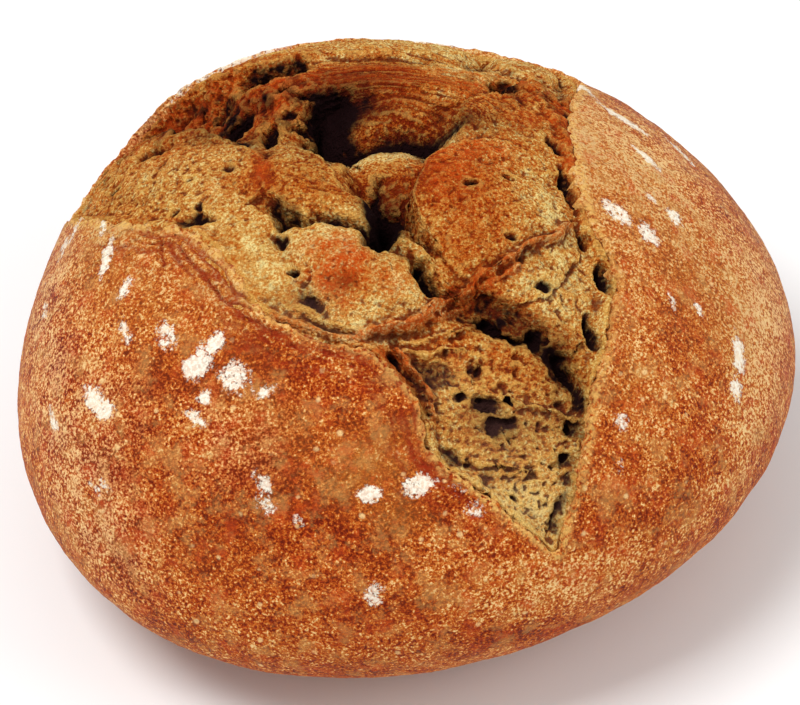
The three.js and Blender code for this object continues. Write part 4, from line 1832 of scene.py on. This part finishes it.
def shader_group(name: str, inputs: dict[str, float | None],
                 outputs: tuple[str, ...]) -> tuple[Graph, Node, Node]:
    """Start a shader node group.

    Args:
        name: Name of the group.
        inputs: Name of each input to its default; without one it is a vector.
        outputs: Names of the outputs, which are values.

    Returns:
        The group's graph, its input node and its output node.
    """
    tree = bpy.data.node_groups.new(name, "ShaderNodeTree")
    for label, value in inputs.items():
        kind = "NodeSocketVector" if value is None else "NodeSocketFloat"
        socket = tree.interface.new_socket(label, in_out="INPUT", socket_type=kind)
        if value is not None:
            socket.default_value = value
    for label in outputs:
        tree.interface.new_socket(label, in_out="OUTPUT", socket_type="NodeSocketFloat")
    graph = Graph(tree)
    return graph, graph.node("NodeGroupInput"), graph.node("NodeGroupOutput")


def speckle_group() -> bpy.types.NodeTree:
    """Bran and grain: a mottle of fine and middling granules and the height they give.

    Returns:
        A group with inputs Place, Fine and Coarse, and outputs Grain, about 0, and Height.
    """
    graph, entry, leave = shader_group(
        "bran_speckle", {"Place": None, "Fine": 1.0, "Coarse": 1.0}, ("Grain", "Height"))
    place, fine, coarse = (entry.outputs[key] for key in ("Place", "Fine", "Coarse"))
    shifted = graph.moved(place, (0.31, 0.17, 0.23))
    small = graph.about(place, 0.8, 3.0, 0.65)
    other = graph.about(shifted, 0.5, 2.0, 0.6)
    large = graph.about(shifted, 3.2, 3.0, 0.6)
    # Granule edges, low in the bump, are darker in colour and granule tops paler: painted shade and
    # highlight on the granules.
    gap = graph.less(graph.cells(place, 0.95).outputs["Distance"], 0.45)
    uneven = graph.times(graph.ease(graph.noise(shifted, 5.0, 3.0, 0.6), 0.35, 0.65), 0.34)
    grain = graph.plus(graph.times(small, fine), graph.times(other, graph.times(fine, 0.5)))
    grain = graph.plus(grain, graph.times(large, coarse))
    grain = graph.plus(grain, graph.times(gap, graph.times(fine, uneven)))
    height = graph.less(graph.times(other, 0.6), small)
    height = graph.less(height, graph.times(gap, 0.55))
    graph.fill(leave, {"Grain": grain, "Height": height})
    return graph.tree


def flour_group() -> bpy.types.NodeTree:
    """Flour: a soft mask broken up into grains where it is thin.

    Returns:
        A group with inputs Place and Amount, and outputs Cover and Height.
    """
    graph, entry, leave = shader_group(
        "flour_dust", {"Place": None, "Amount": 0.0}, ("Cover", "Height"))
    place, amount = entry.outputs["Place"], entry.outputs["Amount"]
    clumps = graph.noise(place, 1.1, 4.0, 0.75)
    wander = graph.about(place, 3.6, 2.0, 0.5)
    edge = graph.cells(place, 2.6, feature="DISTANCE_TO_EDGE").outputs["Distance"]
    crack = graph.times(graph.less(1.0, graph.ease(edge, 0.0, 0.09)), 0.14)
    level = graph.plus(graph.times(amount, 0.42), graph.times(wander, 0.9))
    level = graph.plus(level, graph.times(graph.less(clumps, 0.5), 1.5))
    cover = graph.ease(graph.less(level, crack), 0.12, 0.4)
    thin = graph.times(graph.ease(graph.noise(place, 0.8, 2.0, 0.6), 0.4, 0.6), 0.32)
    cover = graph.times(cover, graph.plus(thin, 0.66))
    cover = graph.times(cover, graph.ease(amount, 0.02, 0.25))
    height = graph.times(cover, graph.plus(0.6, clumps))
    graph.fill(leave, {"Cover": cover, "Height": height})
    return graph.tree


class Effect(Enum):
    """Shader node groups that the finishes use."""

    SPECKLE = "bran_speckle"
    FLOUR = "flour_dust"

    def tree(self) -> bpy.types.NodeTree:
        """The group's tree, built when it is first asked for."""
        makers = {Effect.SPECKLE: speckle_group, Effect.FLOUR: flour_group}
        return bpy.data.node_groups.get(self.value) or makers[self]()

    def place_in(self, graph: Graph, inputs: dict) -> bpy.types.bpy_prop_collection:
        """Add the group to a material.

        Args:
            graph: The material's graph.
            inputs: Input name to a value or to an output socket.

        Returns:
            The group node's outputs.
        """
        return graph.node("ShaderNodeGroup", inputs, node_tree=self.tree()).outputs


def new_material(name: str) -> tuple[bpy.types.Material, Graph, Node, Socket]:
    """Start a node material.

    Args:
        name: Name of the material.

    Returns:
        The material, its graph, its Principled shader and the object's coordinates.
    """
    material = bpy.data.materials.new(name)
    material.use_nodes = True
    graph = Graph(material.node_tree)
    shader = material.node_tree.nodes["Principled BSDF"]
    place = graph.node("ShaderNodeTexCoord").outputs["Object"]
    return material, graph, shader, place


@dataclass(frozen=True)
class CrustFinish:
    """Baked rye crust: mottled brown with bran specks partly painted as glints, darker and paler zones
    partly painted shade and light, a painted sheen near the outline, painted shade in its wrinkles, and
    flour.

    ``fine`` and ``coarse`` are the strengths of its grain, and ``bump`` is in millimetres.
    """

    burnt: Colour = linear(106, 24, 0)
    dark: Colour = linear(152, 50, 4)
    middle: Colour = linear(190, 84, 18)
    pale: Colour = linear(220, 138, 58)
    # Pale bran husk, also standing in for glints painted as pale specks.
    husk_and_glint: Colour = linear(252, 212, 146)
    olive: Colour = linear(178, 116, 46)
    torn: Colour = linear(236, 186, 102)
    # Colour of the painted shade in the wrinkles and grooves.
    fold: Colour = linear(150, 40, 14)
    sandy: Colour = linear(206, 148, 80)
    ruddy: Colour = linear(204, 74, 26)
    # Colour of the painted sheen.
    painted_sheen: Colour = linear(250, 206, 148)
    flour: Colour = linear(246, 238, 218)
    fine: float = 2.4
    coarse: float = 1.0
    bump: float = 1.2
    roughness: float = 0.6
    specular: float = 0.08
    sheen: float = 0.015
    sheen_roughness: float = 0.3

    def skin(self, graph: Graph, place: Socket, grain: Socket) -> Socket:
        """Colour of the bare crust: baked tone with painted shade and light, patches, painted sheen, pale
        spots, painted glints in the palest grains, painted shade in folds, and tear.

        Args:
            graph: The material's graph.
            place: The object's coordinates.
            grain: The bran's grain, about 0.

        Returns:
            The colour without its flour.
        """
        tone = graph.plus(graph.mark("bake_and_painted_light"), graph.times(graph.about(place, 9.0, 4.0, 0.65), 0.6))
        # The palest grains take the husk colour, partly as painted glints.
        colour = graph.ramp(graph.plus(tone, grain), {
            0.0: self.husk_and_glint, 0.25: self.pale, 0.5: self.middle, 0.75: self.dark, 1.0: self.burnt})
        colour = graph.blend(graph.times(graph.mark("olive"), 0.5), colour, self.olive)
        patchy = graph.texture(place, 7.0, 5.0, 0.72).outputs["Color"]
        hue = graph.channels(patchy)
        colour = graph.blend(graph.times(graph.ease(hue[1], 0.48, 0.66), 0.5), colour, self.sandy)
        colour = graph.blend(graph.times(graph.ease(hue[2], 0.5, 0.68), 0.45), colour, self.ruddy)
        crumbs = graph.ease(graph.times(graph.plus(hue[0], grain), 0.9), 0.2, 0.7)
        # Painted sheen, left off the pale crumbs.
        painted_sheen = graph.times(graph.mark("painted_sheen"), graph.less(0.85, crumbs), clamp=True)
        colour = graph.blend(painted_sheen, colour, self.painted_sheen)
        bent = graph.node("ShaderNodeVectorMath", {0: patchy, 1: (0.002, 0.002, 0.002)},
                          operation="MULTIPLY").outputs[0]
        spot = graph.cells(graph.moved(place, bent), 5.0)
        chosen = graph.ease(graph.channels(spot.outputs["Color"])[0], 0.4, 0.8)
        round_spot = graph.less(1.0, graph.ease(spot.outputs["Distance"], 0.08, 0.2))
        spots = graph.times(graph.times(round_spot, chosen), 0.75)
        colour = graph.blend(spots, colour, self.husk_and_glint)
        # Painted shade in the wrinkles and grooves.
        colour = graph.blend(graph.times(graph.mark("fold"), 0.85), colour, self.fold)
        tear = graph.times(graph.mark("tear"), graph.ease(graph.noise(place, 1.4), 0.36, 0.6))
        return graph.blend(graph.times(tear, 0.9), colour, self.torn)

    def material(self) -> bpy.types.Material:
        """Build the crust's material.

        Returns:
            The material, for every piece of the crust.
        """
        made, graph, shader, place = new_material("rye_crust")
        bran = Effect.SPECKLE.place_in(graph, {"Place": place, "Fine": self.fine, "Coarse": self.coarse})
        flour = Effect.FLOUR.place_in(graph, {"Place": place, "Amount": graph.mark("flour")})
        cover = flour["Cover"]
        rough = graph.less(self.roughness, graph.times(bran["Grain"], 0.25))
        bare = graph.less(0.6, graph.times(cover, 0.45))
        height = graph.plus(graph.times(bran["Height"], bare), graph.times(flour["Height"], 0.08))
        graph.fill(shader, {
            "Base Color": graph.blend(cover, self.skin(graph, place, bran["Grain"]), self.flour),
            "Roughness": graph.plus(rough, graph.times(cover, 0.35), clamp=True),
            "Normal": graph.bump(height, self.bump)})
        shader.inputs["Specular IOR Level"].default_value = self.specular
        shader.inputs["Sheen Weight"].default_value = self.sheen
        shader.inputs["Sheen Roughness"].default_value = self.sheen_roughness
        return made


@dataclass(frozen=True)
class CrumbFinish:
    """Torn rye crumb: sandy and pale where fresh, orange-brown where toasted, with painted shade in pits
    and holes and a painted highlight on crests.

    ``fine`` and ``coarse`` are the strengths of its grain, ``calm_fine`` is how much of
    the fine grain is left out where it is calm, and ``bump`` is in millimetres.
    """

    flake: Colour = linear(255, 228, 150)
    pale: Colour = linear(236, 184, 102)
    golden: Colour = linear(214, 140, 58)
    toasted: Colour = linear(194, 92, 18)
    burnt: Colour = linear(128, 36, 4)
    grey: Colour = linear(230, 174, 100)
    # Pale strands, used as the painted highlight on crests.
    ember: Colour = linear(214, 78, 16)
    strand_and_highlight: Colour = linear(246, 194, 98)
    # Painted shade colours: shadow for deep shade, hollow for pits and shade in the grey crumb.
    shadow: Colour = linear(26, 7, 8)
    hollow: Colour = linear(88, 56, 50)
    fine: float = 2.2
    calm_fine: float = 1.1
    coarse: float = 0.9
    bump: float = 1.4
    roughness: float = 0.85
    specular: float = 0.06

    def tint(self, graph: Graph, place: Socket, grain: Socket) -> Socket:
        """Colour of the dough: toasted tone, red, grey, painted shade in pits, painted highlight on
        crests, and painted shade in holes and under walls.

        Args:
            graph: The material's graph.
            place: The object's coordinates.
            grain: The bran's grain, about 0.

        Returns:
            The colour.
        """
        grey, pit_shade_crest_highlight, red_mark = graph.mark("grey"), graph.mark("pit"), graph.mark("red")
        tone = graph.plus(graph.mark("toast"), graph.times(graph.about(place, 4.5, 4.0, 0.7), 0.6))
        colour = graph.ramp(graph.plus(tone, grain), {
            0.0: self.flake, 0.16: self.pale, 0.4: self.golden, 0.7: self.toasted, 1.0: self.burnt})
        red = graph.times(red_mark, graph.plus(0.7, graph.times(grain, 0.6)), clamp=True)
        colour = graph.blend(red, colour, self.ember)
        colour = graph.blend(graph.times(grey, 0.5), colour, self.grey)
        # Painted shade in pits: burnt brown, blended to hollow brown in the grey crumb.
        pit = graph.times(graph.ease(pit_shade_crest_highlight, 0.52, 1.0), 0.85)
        colour = graph.blend(pit, colour, graph.blend(grey, self.burnt, self.hollow))
        # Painted highlight on crests, weaker where the crumb is red.
        crest = graph.ease(graph.less(1.0, pit_shade_crest_highlight), 0.55, 1.0)
        crest = graph.times(crest, graph.less(0.5, graph.times(red_mark, 0.45)))
        colour = graph.blend(crest, colour, self.strand_and_highlight)
        # Painted shade: towards the shadow colour, blended to hollow brown in the grey crumb.
        return graph.blend(graph.mark("painted_shade"), colour, graph.blend(grey, self.shadow, self.hollow))

    def material(self) -> bpy.types.Material:
        """Build the crumb's material.

        Returns:
            The material, for every piece of the crumb.
        """
        made, graph, shader, place = new_material("rye_crumb")
        fine = graph.less(self.fine, graph.times(graph.mark("calm"), self.calm_fine))
        bran = Effect.SPECKLE.place_in(graph, {"Place": place, "Fine": fine, "Coarse": self.coarse})
        graph.fill(shader, {
            "Base Color": self.tint(graph, place, bran["Grain"]),
            "Roughness": graph.less(self.roughness, graph.times(bran["Grain"], 0.2)),
            "Normal": graph.bump(bran["Height"], self.bump)})
        shader.inputs["Specular IOR Level"].default_value = self.specular
        return made


# ---- Stage ----


@dataclass(frozen=True)
class Lamp:
    """A square soft light, its place and side in metres and its power in watts."""

    name: str
    place: Triple
    side: float
    power: float


@dataclass(frozen=True)
class Stage:
    """A pale floor, soft lights and the camera.

    The camera's measures are in degrees and millimetres, the rest in metres.
    """

    elevation: float = 45.0
    distance: float = 900.0
    aim: Triple = (-2.1, 0.8, 48.0)
    focal_length: float = 152.96
    sensor_width: float = 36.0
    clip_start: float = 0.05
    lamps: tuple[Lamp, ...] = (
        Lamp("key", (-0.6, -0.25, 1.5), 0.7, 18.0),
        Lamp("right", (1.1, -0.3, 0.8), 0.8, 5.0),
    )
    lamp_aim: Triple = (0.0, 0.0, 0.05)
    sky: Colour = (1.0, 1.0, 1.0, 1.0)
    sky_strength: float = 0.55
    floor_half: float = 6.0
    floor_grey: float = 0.9
    floor_roughness: float = 0.9

    def camera(self) -> None:
        """Add the camera: in front of the loaf and above it, looking at the aim."""
        data = bpy.data.cameras.new("camera")
        data.lens, data.sensor_width = self.focal_length, self.sensor_width
        data.clip_start = self.clip_start
        camera = bpy.data.objects.new("camera", data)
        tilt = math.radians(self.elevation)
        away = np.array([0.0, -math.cos(tilt), math.sin(tilt)]) * self.distance
        camera.location = (np.array(self.aim) + away) * MM
        camera.rotation_euler = (math.pi / 2.0 - tilt, 0.0, 0.0)
        bpy.context.scene.collection.objects.link(camera)
        bpy.context.scene.camera = camera

    def light(self, lamp: Lamp) -> None:
        """Add a lamp, turned to the loaf."""
        data = bpy.data.lights.new(lamp.name, "AREA")
        data.size, data.energy = lamp.side, lamp.power
        made = bpy.data.objects.new(lamp.name, data)
        made.location = lamp.place
        toward = np.array(self.lamp_aim) - np.array(lamp.place)
        flat = math.hypot(toward[0], toward[1])
        made.rotation_euler = (math.atan2(flat, -toward[2]), 0.0, math.atan2(-toward[0], toward[1]))
        bpy.context.scene.collection.objects.link(made)

    def floor(self) -> None:
        """Add the floor as a wide square at table level."""
        data = bpy.data.meshes.new("floor")
        half = self.floor_half
        corners = [(-half, -half, 0), (half, -half, 0), (half, half, 0), (-half, half, 0)]
        data.from_pydata(corners, [], [(0, 1, 2, 3)])
        plane = bpy.data.objects.new("floor", data)
        material = bpy.data.materials.new("floor")
        material.use_nodes = True
        shader = material.node_tree.nodes["Principled BSDF"]
        shader.inputs["Base Color"].default_value = (*[self.floor_grey] * 3, 1.0)
        shader.inputs["Roughness"].default_value = self.floor_roughness
        plane.data.materials.append(material)
        bpy.context.scene.collection.objects.link(plane)

    def build(self) -> None:
        """Make the floor, the lights, the surroundings and the camera."""
        scene = bpy.context.scene
        scene.view_settings.view_transform = "Standard"
        world = bpy.data.worlds.new("surroundings")
        world.use_nodes = True
        background = world.node_tree.nodes["Background"]
        background.inputs["Color"].default_value = self.sky
        background.inputs["Strength"].default_value = self.sky_strength
        scene.world = world
        self.floor()
        for lamp in self.lamps:
            self.light(lamp)
        self.camera()


# ---- The loaf ----


def place_sheet(sheet: Sheet, name: str, material: bpy.types.Material,
                middle: Array) -> None:
    """Build a sheet, centre it as the frame's loaf is, dress it and tie it to the frame.

    Args:
        sheet: The surface.
        name: Name of the piece.
        material: Its finish.
        middle: Middle of the raw surfaces' box, in millimetres.
    """
    sheet.points = sheet.points - middle
    piece = sheet.build(name)
    piece.data.materials.append(material)
    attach(piece, "root")
    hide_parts("loaf")
    log.info("%s: %d faces", name, len(piece.data.polygons))


def main() -> None:
    """Build the stage and the loaf, and report each piece."""
    logging.basicConfig(level=logging.INFO, format="%(name)s %(message)s")
    Stage().build()
    crust = Crust()
    shell = (*crust.halves(), crust.base())
    points = np.vstack([sheet.points.reshape(-1, 3) for sheet in shell])
    low, high = np.array(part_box("loaf")) / MM
    middle = (points.min(axis=0) + points.max(axis=0)) / 2.0 - (low + high) / 2.0
    middle[2] = 0.0
    crust_skin, crumb_skin = CrustFinish().material(), CrumbFinish().material()
    for name, sheet in zip(("crust_near", "crust_far", "crust_base"), shell):
        place_sheet(sheet, name, crust_skin, middle)
    for name, sheet in zip(("crumb_left", "crumb_middle", "crumb_right"), TornCrumb().sheets()):
        place_sheet(sheet, name, crumb_skin, middle)


if __name__ == "__main__":
    main()
